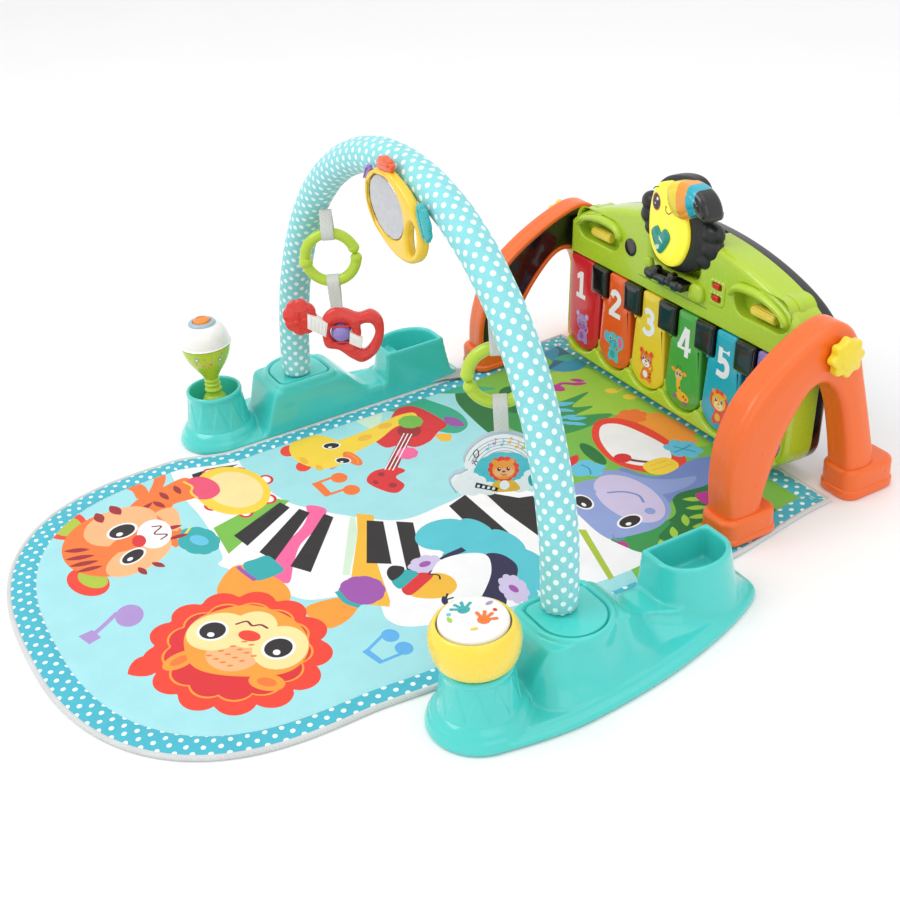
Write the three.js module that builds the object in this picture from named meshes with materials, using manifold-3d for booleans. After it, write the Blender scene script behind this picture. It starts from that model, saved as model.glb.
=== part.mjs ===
// Activity play gym: a play mat, two moulded bases, a padded toy arch with hanging toys,
// and a kick piano that tilts between two A-frame legs.
// Millimetres, +Z up. X runs across the mat, Y from its round end to the piano.
// The origin is on the floor, at the middle of the mat, straight under the arch.

import * as THREE from 'three';
import { mergeVertices } from 'three/addons/utils/BufferGeometryUtils.js';
import Module from 'manifold-3d';

const wasm = await Module();
wasm.setup();

// ---- driving dimensions -------------------------------------------------------------

const GAP = 0.3;                       // left between pieces that touch

const MAT = { front: -449, rear: 412, thick: 6.5, cornerY: -215, roundness: 0.8 };
// Rows of [y, left edge, right edge]: the mat narrows between the bases and shifts under the piano.
const MAT_EDGES = [[MAT.cornerY, -298, 264], [-190, -298, 264], [-112, -274.6, 270], [225, -274.6, 270],
  [MAT.rear, -296, 248]];

const ARCH = { halfSpan: 305, plateTop: 69, springZ: 90, rise: 338, tubeR: 19.2, coreR: 13, coreHole: 10,
  lean: THREE.MathUtils.degToRad(3.8) };

const BASE = { inner: 275, rear: 228, plate: 12, recess: 2.6, underplate: 1.8 };
const POST = { x: 329, y: -107, ringR: 46, rimR: 35.5, rimZ: 72, cupR: 29, cupFloor: 34 };
const SOCKET = { x: 320, y: 5, half: 35, depth: 6.3, thick: 6 };
const TRAY = { x: 304, y: 163, halfX: 28, halfY: 36, floor: 34 };

const PIANO = { x: -24, y: 415, z: 186, lean: THREE.MathUtils.degToRad(4), half: 220,
  front: -20, seam: 22, back: 38, top: 70, endTop: 22, bottom: -170, corner: 34 };
const KEY = { count: 6, pitch: 71.4, width: 68.6, top: -30, bottom: -160, front: -22, thick: 13, floor: 0 };
const BLACK = { width: 34, top: -29, bottom: -67, front: -29 };
const RECESS = { x: 156, z: 19, half: 46, height: 40, depth: 16 };
const SWITCH = { x: 81, z: [20, 5] };
const DOOR = { halfX: 62, halfZ: 34, z: -70 };
const BIRD = { front: -35, middle: -28, back: -2, beakFront: -45, heartX: -8, heartZ: 53 };

const LEG = { outer: 262, inner: 225, splay: 0.11, shellSplit: 241, boltR: 6.2 };
const BOOT = { halfX: 29, halfY: 41, height: 38, frontY: 291, rearY: 474 };
const KNOB = { lobes: 8, radius: 23.5, wave: 1.9, thick: 13, studR: 5, depth: 15 };

const RING = { radius: 30, wire: 6.4, gap: THREE.MathUtils.degToRad(13) };
const TOY = { x: 186, hingeZ: 326, loopTop: 324, ringZ: 266, yaw: THREE.MathUtils.degToRad(60) };
const MIRROR = { x: 39, y: -3, z: 389, a: 58, b: 41, thick: 12, tilt: THREE.MathUtils.degToRad(-20) };

const COLOUR = { aqua: 0x2bb5b0, sleeve: 0x9fdde0, mat: 0xbfe6ea, lime: 0xa6c83a, orange: 0xf0702a,
  yellow: 0xf2d23c, black: 0x151515, white: 0xf4f2ee, red: 0xdf3b3a, lilac: 0x9d86c8, green: 0x59b04b,
  turquoise: 0x2db8c9, grey: 0xc9c9c7, teal: 0x1f9c96, silver: 0xd5dadc, darkgrey: 0x4a4d50 };

const gym = new THREE.Group();

// ---- helpers ------------------------------------------------------------------------

function bare(geometry) {
  geometry.deleteAttribute('normal');
  geometry.deleteAttribute('uv');
  return mergeVertices(geometry, 1e-4);
}

function toSolid(geometry) {
  const g = bare(geometry.clone());
  return new wasm.Manifold(new wasm.Mesh({
    numProp: 3,
    vertProperties: new Float32Array(g.attributes.position.array),
    triVerts: new Uint32Array(g.index.array),
  }));
}

function toGeometry(solid) {
  const mesh = solid.getMesh();
  const g = new THREE.BufferGeometry();
  g.setAttribute('position', new THREE.BufferAttribute(new Float32Array(mesh.vertProperties), 3));
  g.setIndex(new THREE.BufferAttribute(new Uint32Array(mesh.triVerts), 1));
  return g;
}

function join(...geometries) {
  return toGeometry(geometries.map(toSolid).reduce((whole, piece) => whole.add(piece)));
}

function cut(body, ...tools) {
  return toGeometry(tools.map(toSolid).reduce((whole, tool) => whole.subtract(tool), toSolid(body)));
}

function mirrored(geometry) {
  const g = geometry.clone().scale(-1, 1, 1);
  const index = g.index.array;
  for (let i = 0; i < index.length; i += 3) {
    [index[i], index[i + 1]] = [index[i + 1], index[i]];
  }
  return g;
}

function add(parent, name, geometry, color, roughness = 0.35, metalness = 0) {
  const material = new THREE.MeshStandardMaterial({ color, roughness, metalness });
  const mesh = new THREE.Mesh(bare(geometry), material);
  mesh.name = name;
  parent.add(mesh);
  return mesh;
}

function shapeOf(points) {
  return new THREE.Shape(points.map(([x, y]) => new THREE.Vector2(x, y)));
}

function smoothShape(points, divisions) {
  const curve = new THREE.CatmullRomCurve3(points.map(([x, y]) => new THREE.Vector3(x, y, 0)), true);
  return shapeOf(curve.getPoints(divisions).slice(0, -1).map((p) => [p.x, p.y]));
}

function roundRect(halfX, halfY, radius, x = 0, y = 0) {
  const shape = new THREE.Shape();
  shape.moveTo(x + halfX, y - halfY + radius);
  shape.absarc(x + halfX - radius, y + halfY - radius, radius, 0, Math.PI / 2);
  shape.absarc(x - halfX + radius, y + halfY - radius, radius, Math.PI / 2, Math.PI);
  shape.absarc(x - halfX + radius, y - halfY + radius, radius, Math.PI, 1.5 * Math.PI);
  shape.absarc(x + halfX - radius, y - halfY + radius, radius, 1.5 * Math.PI, 2 * Math.PI);
  return shape;
}

function ellipse(a, b, x = 0, y = 0, turn = 0) {
  const shape = new THREE.Shape();
  shape.absellipse(x, y, a, b, 0, 2 * Math.PI, false, turn);
  return shape;
}

// A plate of the given outline that fills from..to along Z; the bevel stays inside the outline.
function slab(shape, from, to, { bevel = 0, segments = 4, bevelSegments = 1 } = {}) {
  const g = new THREE.ExtrudeGeometry(shape, {
    depth: to - from - 2 * bevel, curveSegments: segments, bevelEnabled: bevel > 0,
    bevelSize: bevel, bevelThickness: bevel, bevelOffset: -bevel, bevelSegments,
  });
  return bare(g.translate(0, 0, from + bevel));
}

// The same, with the outline's x, y turned into X, Z and the plate filling front..back along Y.
function upright(shape, front, back, options) {
  return slab(shape, -back, -front, options).rotateX(Math.PI / 2);
}

// The same, with the outline's x, y turned into Y, Z and the plate filling from..to along X.
function sideways(shape, from, to, options) {
  return slab(shape, from, to, options).rotateX(Math.PI / 2).rotateZ(Math.PI / 2);
}

function rod(radius, height, segments = 20) {
  return bare(new THREE.CylinderGeometry(radius, radius, height, segments).rotateX(Math.PI / 2));
}

function lathe(profile, segments = 28) {
  const g = new THREE.LatheGeometry(profile.map(([r, z]) => new THREE.Vector2(r, z)), segments);
  return bare(g.rotateX(Math.PI / 2));
}

function box(x0, x1, y0, y1, z0, z1) {
  return bare(new THREE.BoxGeometry(x1 - x0, y1 - y0, z1 - z0)
    .translate((x0 + x1) / 2, (y0 + y1) / 2, (z0 + z1) / 2));
}

function ball(radius, width = 16, height = 12) {
  return bare(new THREE.SphereGeometry(radius, width, height));
}

// Value at t of a table of [t, value] rows, eased between rows.
function eased(table, t) {
  const i = Math.max(1, table.findIndex(([row]) => row >= t));
  const [t0, v0] = table[i - 1];
  const [t1, v1] = table[i];
  const u = THREE.MathUtils.clamp((t - t0) / (t1 - t0), 0, 1);
  return v0 + (v1 - v0) * u * u * (3 - 2 * u);
}

// A closed body through rings of equal point count, with flat ends.
function loft(rings) {
  const n = rings[0].length;
  const position = rings.flat(2);
  const index = [];
  for (let r = 0; r + 1 < rings.length; r += 1) {
    for (let i = 0; i < n; i += 1) {
      const a = r * n + i;
      const b = r * n + ((i + 1) % n);
      index.push(a, a + n, b, b, a + n, b + n);
    }
  }
  for (let i = 1; i + 1 < n; i += 1) {
    const last = (rings.length - 1) * n;
    index.push(0, i, i + 1, last, last + i + 1, last + i);
  }
  const g = new THREE.BufferGeometry();
  g.setAttribute('position', new THREE.Float32BufferAttribute(position, 3));
  g.setIndex(index);
  return g;
}

// ---- play mat -----------------------------------------------------------------------

function matEdge(y, side) {
  return eased(MAT_EDGES.map((row) => [row[0], row[side]]), y);
}

function playMat() {
  const middle = (MAT_EDGES[0][1] + MAT_EDGES[0][2]) / 2;
  const half = MAT_EDGES[0][2] - middle;
  const reach = MAT.cornerY - MAT.front;
  const outline = [];
  for (let i = 0; i <= 24; i += 1) {
    const t = Math.PI + (Math.PI * i) / 24;
    outline.push([middle + half * Math.sign(Math.cos(t)) * Math.abs(Math.cos(t)) ** MAT.roundness,
      MAT.cornerY - reach * Math.abs(Math.sin(t)) ** MAT.roundness]);
  }
  const rows = [-190, -177, -164, -151, -138, -125, -112, 225, 256, 287, 318, 349, 380, MAT.rear];
  rows.forEach((y) => outline.push([matEdge(y, 2), y]));
  rows.reverse().forEach((y) => outline.push([matEdge(y, 1), y]));
  return slab(shapeOf(outline), 0, MAT.thick);
}

add(gym, 'play_mat', playMat(), COLOUR.mat, 0.8);

// ---- bases --------------------------------------------------------------------------

// Rows of [y, value] along the base: outer foot edge, crown height and outer edge of the crown.
const FOOT_EDGE = [[-70, 390], [-20, 393], [60, 386], [128, 372], [190, 352], [228, 330]];
const CROWN_Z = [[-66, 12], [-40, 69], [48, 69], [92, 33], [120, 70], [206, 70], [226, 14]];
const CROWN_EDGE = [[-66, 340], [-30, 356], [5, 364], [44, 350], [92, 322], [128, 338], [180, 339],
  [226, 318]];

function footOutline(inset) {
  const x0 = BASE.inner + inset;
  const r = 53 - inset;
  const shape = new THREE.Shape();
  shape.moveTo(x0, BASE.rear - inset);
  shape.lineTo(x0, POST.y);
  shape.absarc(POST.x, POST.y, r, Math.PI, 1.93 * Math.PI);
  for (const [y, x] of FOOT_EDGE) {
    shape.lineTo(x - inset, Math.min(y, BASE.rear - inset));
  }
  return shape;
}

function baseRing(y) {
  const top = eased(CROWN_Z, y);
  const edge = eased(CROWN_EDGE, y);
  const foot = eased(FOOT_EDGE, y) - 9;
  const inner = BASE.inner;
  const ring = [[inner, 4], [foot, 4]];
  for (let i = 0; i <= 4; i += 1) {
    const t = (i / 4) * (Math.PI / 2);
    ring.push([foot + (edge - foot) * Math.sin(t) ** 1.2, 10 + (top - 10) * (1 - Math.cos(t)) ** 0.85]);
  }
  ring.push([inner + 7, top], [inner + 2, top - 3]);
  return ring.map(([x, z]) => [x, y, z]);
}

function rightBase() {
  const stations = [-66, -58, -50, -42, 5, 46, 62, 76, 92, 104, 114, 122, 190, 206, 214, 226];
  const body = loft(stations.map((y) => baseRing(y)));
  const foot = slab(footOutline(0), 0, BASE.plate, { bevel: 3, segments: 6 });
  const post = lathe([[0, 6], [50, 6], [50, 13], [POST.ringR, 20], [POST.ringR, 25], [40, 30], [35, 44],
    [33, 60], [POST.rimR, POST.rimZ - 3], [POST.rimR, POST.rimZ], [0, POST.rimZ]], 22)
    .translate(POST.x, POST.y, 0);
  const cup = lathe([[0, POST.cupFloor], [24, POST.cupFloor], [POST.cupR, 44], [31.5, 90], [0, 90]], 22)
    .translate(POST.x, POST.y, 0);
  const socket = slab(socketOutline(0), ARCH.plateTop - SOCKET.depth, 90, { segments: 4 });
  const tray = slab(trayOutline(0), TRAY.floor, 90, { segments: 4 });
  const underside = slab(footOutline(5), -5, BASE.recess, { segments: 5 });
  const hollow = slab(roundRect(26, 120, 12, 312, 78), -4, 24, { segments: 2 });
  const cupHollow = rod(26, 34, 14).translate(POST.x, POST.y, 9.5);
  return cut(join(foot, body, post), cup, socket, tray, underside, hollow, cupHollow);
}

// D-shaped outlines: the flat side faces the mat, the round side faces out.
function dShape(x, y, halfX, halfY, inset) {
  const shape = new THREE.Shape();
  const flat = x - halfX + inset;
  const corner = 8;
  shape.moveTo(flat + corner, y - halfY + inset);
  shape.absellipse(x, y, halfX - inset, halfY - inset, -Math.PI / 2, Math.PI / 2, false);
  shape.lineTo(flat + corner, y + halfY - inset);
  shape.absarc(flat + corner, y + halfY - inset - corner, corner, Math.PI / 2, Math.PI);
  shape.absarc(flat + corner, y - halfY + inset + corner, corner, Math.PI, 1.5 * Math.PI);
  return shape;
}

function socketOutline(inset) {
  return dShape(SOCKET.x, SOCKET.y, SOCKET.half, SOCKET.half, inset);
}

function trayOutline(inset) {
  return dShape(TRAY.x, TRAY.y, TRAY.halfX, TRAY.halfY, inset);
}

function underplate() {
  return slab(footOutline(5.6), 0.4, 0.4 + BASE.underplate, { segments: 5 });
}

// The arch foot: a D-shaped plate in the socket, with a spigot up the inside of the arch tube.
function archFoot() {
  const plate = slab(socketOutline(0.6), ARCH.plateTop - SOCKET.thick, ARCH.plateTop, { segments: 4 });
  const spigot = rod(ARCH.coreHole - 0.9, 44, 10)
    .translate(ARCH.halfSpan, 0, 18)
    .rotateX(-ARCH.lean)
    .translate(0, 0, ARCH.plateTop);
  return join(plate, spigot);
}

const base = rightBase();
const basePlate = underplate();
const foot = archFoot();
for (const [side, turn] of [['left', mirrored], ['right', (g) => g.clone()]]) {
  add(gym, `${side}_base`, turn(base), COLOUR.aqua, 0.25);
  add(gym, `${side}_base_underplate`, turn(basePlate), COLOUR.darkgrey, 0.6);
  add(gym, `${side}_arch_foot`, turn(foot), COLOUR.aqua, 0.25);
}

// ---- arch ---------------------------------------------------------------------------

class ArchCurve extends THREE.Curve {
  getPoint(u, target = new THREE.Vector3()) {
    const straight = ARCH.springZ - ARCH.plateTop - 2.2;
    const quarter = (Math.PI / 4) * (ARCH.halfSpan + ARCH.rise);
    const length = 2 * (straight + quarter);
    const s = u * length;
    if (s < straight) return target.set(-ARCH.halfSpan, 0, s - straight);
    if (s > length - straight) return target.set(ARCH.halfSpan, 0, length - straight - s);
    const t = Math.PI * (1 - (s - straight) / (2 * quarter));
    return target.set(ARCH.halfSpan * Math.cos(t), 0, ARCH.rise * Math.sin(t));
  }
}

// A tube along the arch: a ring section, swept; the path's origin is at the spring line.
function archTube(outer, inner, sides) {
  const section = ellipse(outer, outer);
  section.holes.push(ellipse(inner, inner));
  const g = new THREE.ExtrudeGeometry(section, {
    steps: 26, curveSegments: sides, bevelEnabled: false, extrudePath: new ArchCurve(),
  });
  return bare(g)
    .translate(0, 0, ARCH.springZ - ARCH.plateTop)
    .rotateX(-ARCH.lean)
    .translate(0, 0, ARCH.plateTop);
}

add(gym, 'arch_tube', archTube(ARCH.coreR, ARCH.coreHole, 5), COLOUR.white, 0.5);
add(gym, 'arch_sleeve', archTube(ARCH.tubeR, ARCH.coreR + 0.5, 5), COLOUR.sleeve, 0.85);

// ---- cup toys -----------------------------------------------------------------------

const maraca = new THREE.Group();
maraca.position.set(-POST.x, POST.y, 0);
gym.add(maraca);
add(maraca, 'maraca_handle', lathe([[0, 34.3], [18, 34.3], [19, 50], [15, 60], [9, 72], [8, 88], [10.5, 94],
  [8.5, 99], [11, 105], [22, 113], [29.5, 125], [31, 136.5], [0, 136.5]], 18), COLOUR.lime, 0.25);
add(maraca, 'maraca_cap', cut(
  lathe([[0, 136.8], [31, 136.8], [30.4, 146], [26, 156], [17, 164], [0, 168]], 18),
  rod(11, 20, 14).translate(0, 0, 174)), COLOUR.white, 0.25);
add(maraca, 'maraca_button', lathe([[0, 164.3], [10.5, 164.3], [10, 168], [6, 171], [0, 172]], 14),
  COLOUR.orange);

const drum = new THREE.Group();
drum.position.set(POST.x, POST.y, 0);
gym.add(drum);
add(drum, 'drum_bowl', lathe([[0, 34.3], [20, 34.3], [27, 48], [29, 72.4], [34.5, 72.4], [40.5, 82], [43.5, 98],
  [42, 110], [37, 117], [34, 116], [34, 104], [0, 104]], 22), COLOUR.yellow, 0.35);
add(drum, 'drum_pad', lathe([[0, 107.5], [33.2, 107.5], [33.2, 119], [30, 122.5], [0, 123.5]], 22),
  COLOUR.white);

// ---- hanging toys -------------------------------------------------------------------

function cRing(openAt) {
  const path = new THREE.CatmullRomCurve3(Array.from({ length: 21 }, (_, i) => {
    const t = openAt + RING.gap + ((2 * Math.PI - 2 * RING.gap) * i) / 20;
    return new THREE.Vector3(RING.radius * Math.cos(t), 0, RING.radius * Math.sin(t));
  }));
  const g = new THREE.ExtrudeGeometry(ellipse(RING.wire, RING.wire), {
    steps: 20, curveSegments: 4, bevelEnabled: false, extrudePath: path,
  });
  return bare(g);
}

function strap(z0, z1) {
  return box(-7.5, 7.5, -1.2, 1.2, z0, z1);
}

// Each toy hangs in its own upright frame, turned to face out over the round end of the mat.
function hangingToy(side, x, openAt) {
  const toy = new THREE.Group();
  toy.position.set(x, Math.tan(ARCH.lean) * (TOY.hingeZ - ARCH.plateTop), 0);
  toy.rotation.z = TOY.yaw;
  gym.add(toy);
  const ringTop = TOY.ringZ + RING.radius + RING.wire + GAP;
  add(toy, `${side}_toy_loop`, strap(ringTop, TOY.loopTop), COLOUR.grey, 0.8);
  add(toy, `${side}_toy_ring`, cRing(openAt).translate(0, 0, TOY.ringZ), COLOUR.lime, 0.3);
  return toy;
}

const ringBottom = TOY.ringZ - RING.radius - RING.wire - GAP;

const guitar = hangingToy('left', -TOY.x, THREE.MathUtils.degToRad(8));
const GUITAR = { z: 166, thick: 13, top: 203 };

function guitarBody() {
  const outline = smoothShape([[-24, 10], [-20, 26], [-6, 36], [8, 33], [22, 27], [38, 30], [50, 18],
    [50, -4], [40, -26], [22, -38], [8, -32], [-6, -20], [-22, -14]], 40);
  const handle = smoothShape([[24, 12], [36, 13], [40, 2], [34, -12], [24, -22], [20, -14], [23, 0]], 18);
  const window = rod(13.5, 40, 16).rotateX(Math.PI / 2).translate(-1, 0, 3);
  return cut(upright(outline, -GUITAR.thick / 2, GUITAR.thick / 2, { bevel: 3 }),
    upright(handle, -20, 20), window).translate(3, 0, GUITAR.z);
}

function guitarHead() {
  const head = smoothShape([[-66, 20], [-58, 44], [-44, 48], [-30, 40], [-28, 24], [-36, 10], [-52, 4]],
    28);
  const neck = shapeOf([[-40, 36], [-42, 14], [-25, 2], [-23.5, 22]]);
  return join(upright(head, -5, 5, { bevel: 2 }), upright(neck, -4, 4)).translate(1, 0, GUITAR.z);
}

add(guitar, 'left_toy_strap', strap(GUITAR.top, ringBottom), COLOUR.grey, 0.8);
add(guitar, 'guitar_body', guitarBody(), COLOUR.red, 0.3);
add(guitar, 'guitar_head', guitarHead(), COLOUR.red, 0.3);
add(guitar, 'guitar_ball', ball(12.4, 14, 10).translate(2, 0, GUITAR.z + 3), COLOUR.lilac, 0.25);

const cardToy = hangingToy('right', TOY.x, THREE.MathUtils.degToRad(188));
const CARD = { z: 134, thick: 6, top: 205 };

function songCard() {
  const cloud = [[-55, 12], [-46, 27], [-38, 30]];
  const arc = Array.from({ length: 13 }, (_, i) => {
    const t = Math.PI * (0.86 - (0.72 * i) / 12);
    return [44 * Math.cos(t), 22 + 48 * Math.sin(t)];
  });
  const outline = [[-50, 2], ...cloud, ...arc, ...cloud.map(([x, y]) => [-x, y]).reverse(), [50, 2]];
  return upright(shapeOf(outline), -CARD.thick / 2, CARD.thick / 2, { bevel: 1 }).translate(0, 0, CARD.z);
}

add(cardToy, 'right_toy_strap', strap(CARD.top, ringBottom), COLOUR.grey, 0.8);
add(cardToy, 'song_card', songCard(), COLOUR.white, 0.4);

// ---- mirror toy ---------------------------------------------------------------------

const mirror = new THREE.Group();
mirror.position.set(MIRROR.x, MIRROR.y, MIRROR.z);
mirror.rotation.y = -MIRROR.tilt;
gym.add(mirror);

const GLASS = { x: -16, a: 37, b: 31, thick: 2.2, face: -MIRROR.thick / 2 + 4 - GAP };

function mirrorFrame() {
  const { a, b, thick } = MIRROR;
  const body = upright(ellipse(a, b), -thick / 2, thick / 2, { bevel: 3, segments: 10 });
  const pocket = upright(ellipse(GLASS.a, GLASS.b, GLASS.x), -20, -thick / 2 + 4, { segments: 8 });
  const slot = upright(ellipse(9, 21, 38), -20, 20, { segments: 8 });
  return cut(body, pocket, slot);
}

add(mirror, 'mirror_frame', mirrorFrame(), COLOUR.yellow, 0.3);
add(mirror, 'mirror_glass', upright(ellipse(GLASS.a - 0.5, GLASS.b - 0.5, GLASS.x),
  GLASS.face - GLASS.thick, GLASS.face, { segments: 8 }), COLOUR.silver, 0.05, 1);

function leafTab(angle) {
  const rim = (r) => [r * Math.cos(angle), r * Math.sin(angle)];
  const [x, z] = rim(1);
  const centre = [MIRROR.a * x * 1.16, MIRROR.b * z * 1.2];
  const leaf = upright(ellipse(15, 7.5, ...centre, angle + Math.PI / 2), -5, 5, { bevel: 2, segments: 5 });
  return cut(leaf, upright(ellipse(MIRROR.a + GAP, MIRROR.b + GAP), -20, 20, { segments: 10 }));
}

const TABS = [['orange', 118, COLOUR.orange], ['teal', 38, COLOUR.teal]];
for (const [name, degrees, colour] of TABS) {
  add(mirror, `mirror_leaf_${name}`, leafTab(THREE.MathUtils.degToRad(degrees)), colour, 0.5);
}

// ---- legs ---------------------------------------------------------------------------

// The A-frame outline, from the clamp's axis: y to the rear, z up.
const SOLE = BOOT.height - PIANO.z;
const LEG_OUTLINE = [[-163, SOLE], [-161, -106], [-150, -64], [-124, -26], [-88, 2], [-45, 24], [-5, 36],
  [22, 30], [38, 6], [47, -45], [55, -95], [62, SOLE], [12, SOLE], [10, -110], [4, -70], [-6, -44],
  [-22, -33], [-42, -42], [-73, -78], [-96, -120], [-107, SOLE]];

function splayed(geometry) {
  const position = geometry.attributes.position;
  for (let i = 0; i < position.count; i += 1) {
    position.setX(i, position.getX(i) + LEG.splay * (PIANO.z - position.getZ(i)));
  }
  return geometry;
}

function legShell(from, to, bevel, inset) {
  const shape = shapeOf(LEG_OUTLINE);
  const g = new THREE.ExtrudeGeometry(shape, { depth: to - from - 2 * bevel, bevelSize: bevel,
    bevelThickness: bevel, bevelOffset: -bevel - inset, bevelSegments: 1, bevelEnabled: true });
  const shell = bare(g.translate(0, 0, from + bevel)).rotateX(Math.PI / 2).rotateZ(Math.PI / 2)
    .translate(0, PIANO.y, PIANO.z);
  const bolt = rod(LEG.boltR, 120, 12).rotateY(Math.PI / 2).translate(LEG.outer - 30, PIANO.y, PIANO.z);
  return splayed(cut(shell, bolt));
}

function boot(y, bottom) {
  const top = BOOT.height - GAP;
  const middle = LEG.outer + LEG.splay * (PIANO.z - 10) + 7 - BOOT.halfX;
  return slab(roundRect(BOOT.halfX, BOOT.halfY, 13, middle, y), bottom, top, { bevel: 3, segments: 3 });
}

// A lobed clamp knob with its stud, which runs through the leg into the piano's side.
function knob() {
  const outline = Array.from({ length: 32 }, (_, i) => {
    const t = (2 * Math.PI * i) / 32;
    const r = KNOB.radius - KNOB.wave + KNOB.wave * Math.cos(KNOB.lobes * t);
    return [r * Math.cos(t), r * Math.sin(t)];
  });
  const start = LEG.outer + 3.2;
  const grip = sideways(shapeOf(outline), start, start + KNOB.thick, { bevel: 2 });
  const tip = PIANO.half - KNOB.depth;
  const stud = rod(KNOB.studR, start + 2 - tip, 16).rotateY(Math.PI / 2)
    .translate((start + 2 + tip) / 2, 0, 0);
  return join(grip, stud).translate(0, PIANO.y, PIANO.z);
}

const stand = new THREE.Group();
stand.position.x = PIANO.x;
gym.add(stand);

const outerShell = legShell(LEG.shellSplit, LEG.outer, 7, 0);
const innerShell = legShell(LEG.inner, LEG.shellSplit - GAP, 2, 2.5);
const frontBoot = boot(BOOT.frontY, MAT.thick + GAP);
const rearBoot = boot(BOOT.rearY, 0);
const clampKnob = knob();
for (const [side, turn] of [['left', mirrored], ['right', (g) => g.clone()]]) {
  add(stand, `${side}_leg_outer_shell`, turn(outerShell), COLOUR.orange, 0.35);
  add(stand, `${side}_leg_inner_shell`, turn(innerShell), COLOUR.black, 0.3);
  add(stand, `${side}_front_boot`, turn(frontBoot), COLOUR.orange, 0.45);
  add(stand, `${side}_rear_boot`, turn(rearBoot), COLOUR.orange, 0.45);
  add(stand, `${side}_clamp_knob`, turn(clampKnob), COLOUR.yellow, 0.3);
}

// ---- piano --------------------------------------------------------------------------

const piano = new THREE.Group();
piano.position.set(PIANO.x, PIANO.y, PIANO.z);
piano.rotation.x = -PIANO.lean;
gym.add(piano);

function panelTop(x) {
  return PIANO.top - (PIANO.top - PIANO.endTop) * Math.abs(x / PIANO.half) ** 2.2;
}

function panelShape(inset) {
  const half = PIANO.half - inset;
  const r = PIANO.corner - inset;
  const shape = new THREE.Shape();
  shape.moveTo(-half + r, PIANO.bottom + inset);
  shape.absarc(half - r, PIANO.bottom + inset + r, r, -Math.PI / 2, 0);
  for (let i = 0; i <= 12; i += 1) {
    const x = half - (2 * half * i) / 12;
    shape.lineTo(x, panelTop(x) - inset - 8 * Math.abs(x / half) ** 12);
  }
  shape.absarc(-half + r, PIANO.bottom + inset + r, r, Math.PI, 1.5 * Math.PI);
  return shape;
}

// The bores in the two ends of the panel, which the clamp knobs' studs turn in.
function studBores() {
  return [-1, 1].map((side) => rod(KNOB.studR + 0.4, 2 * KNOB.depth + 2, 16).rotateY(Math.PI / 2)
    .translate(side * PIANO.half, 0, 0));
}

// A long key's outline: rounded corners at the top, a half ellipse at the bottom.
function keyShape(x, grow) {
  const half = KEY.width / 2 + grow;
  const top = KEY.top + grow;
  const bow = 0.42 * (KEY.top - KEY.bottom) / 2;
  const shape = new THREE.Shape();
  shape.absarc(x + half - 8, top - 8, 8, 0, Math.PI / 2);
  shape.absarc(x - half + 8, top - 8, 8, Math.PI / 2, Math.PI);
  shape.absellipse(x, KEY.bottom + bow, half, bow + grow, Math.PI, 2 * Math.PI, false);
  return shape;
}

const keyPlaces = Array.from({ length: KEY.count }, (_, i) => (i - (KEY.count - 1) / 2) * KEY.pitch);
const blackPlaces = keyPlaces.slice(1).map((x) => x - KEY.pitch / 2);

function frontShell() {
  const shell = upright(panelShape(0), PIANO.front, PIANO.seam - GAP, { bevel: 5, segments: 4 });
  const lip = upright(roundRect(205, 7, 5, 0, -162), -27, -10, { bevel: 3, segments: 2 });
  const bays = keyPlaces.map((x) => upright(keyShape(x, 1.2), -60, KEY.floor, { segments: 4 }));
  const blackBay = box(-2.7 * KEY.pitch, 2.7 * KEY.pitch, -60, KEY.floor, BLACK.bottom - 6, BLACK.top + 1);
  const hollow = upright(panelShape(9), 4, 60, { segments: 3 });
  const scoop = upright(roundRect(44, 46, 12, 0, 58), -60, 1.5, { segments: 3 });
  const recesses = [-RECESS.x, RECESS.x].map((x) => upright(
    roundRect(RECESS.half, RECESS.height / 2, 18, x, RECESS.z),
    -60, PIANO.front + RECESS.depth, { segments: 4 }));
  const slots = SWITCH.z.map((z) => box(SWITCH.x - 9, SWITCH.x + 9, -60, PIANO.front + 5, z - 4, z + 4));
  return cut(join(shell, lip), ...bays, blackBay, hollow, scoop, ...recesses, ...slots, ...studBores());
}

function backCover() {
  const cover = upright(panelShape(0.6), PIANO.seam, PIANO.back, { bevel: 4, segments: 4 });
  const hollow = upright(panelShape(6), PIANO.seam - 10, PIANO.back - 4, { segments: 3 });
  const doorway = upright(roundRect(DOOR.halfX, DOOR.halfZ, 6, 0, DOOR.z), 0, 60, { segments: 3 });
  return cut(cover, hollow, doorway);
}

add(piano, 'piano_front_shell', frontShell(), COLOUR.lime, 0.3);
add(piano, 'piano_back_cover', backCover(), COLOUR.black, 0.35);
add(piano, 'battery_door', upright(roundRect(DOOR.halfX - 0.5, DOOR.halfZ - 0.5, 5.5, 0, DOOR.z),
  PIANO.back - 3, PIANO.back - 0.2, { segments: 3 }), COLOUR.black, 0.4);
add(piano, 'battery_pack', box(-52, 52, 12, 29, DOOR.z - 26, DOOR.z + 26), COLOUR.darkgrey, 0.5);
add(piano, 'circuit_board', box(-60, 60, 8, 9.6, -30, 30), COLOUR.green, 0.5);
add(piano, 'speaker', lathe([[0, 0], [28, 0], [28, 4], [16, 12], [0, 12]], 24)
  .rotateX(-Math.PI / 2).translate(-120, 8, -60), COLOUR.darkgrey, 0.5);

// Notches for the short black keys, at the upper corners of the long keys.
function pianoKey(x) {
  const blank = upright(keyShape(x, 0), KEY.front, KEY.front + KEY.thick, { bevel: 3, segments: 4 });
  const reach = BLACK.width / 2 + 1;
  const notches = blackPlaces.filter((b) => Math.abs(b - x) < KEY.pitch)
    .map((b) => box(b - reach, b + reach, -60, 20, BLACK.bottom - 2, 0));
  return cut(blank, ...notches);
}

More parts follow.
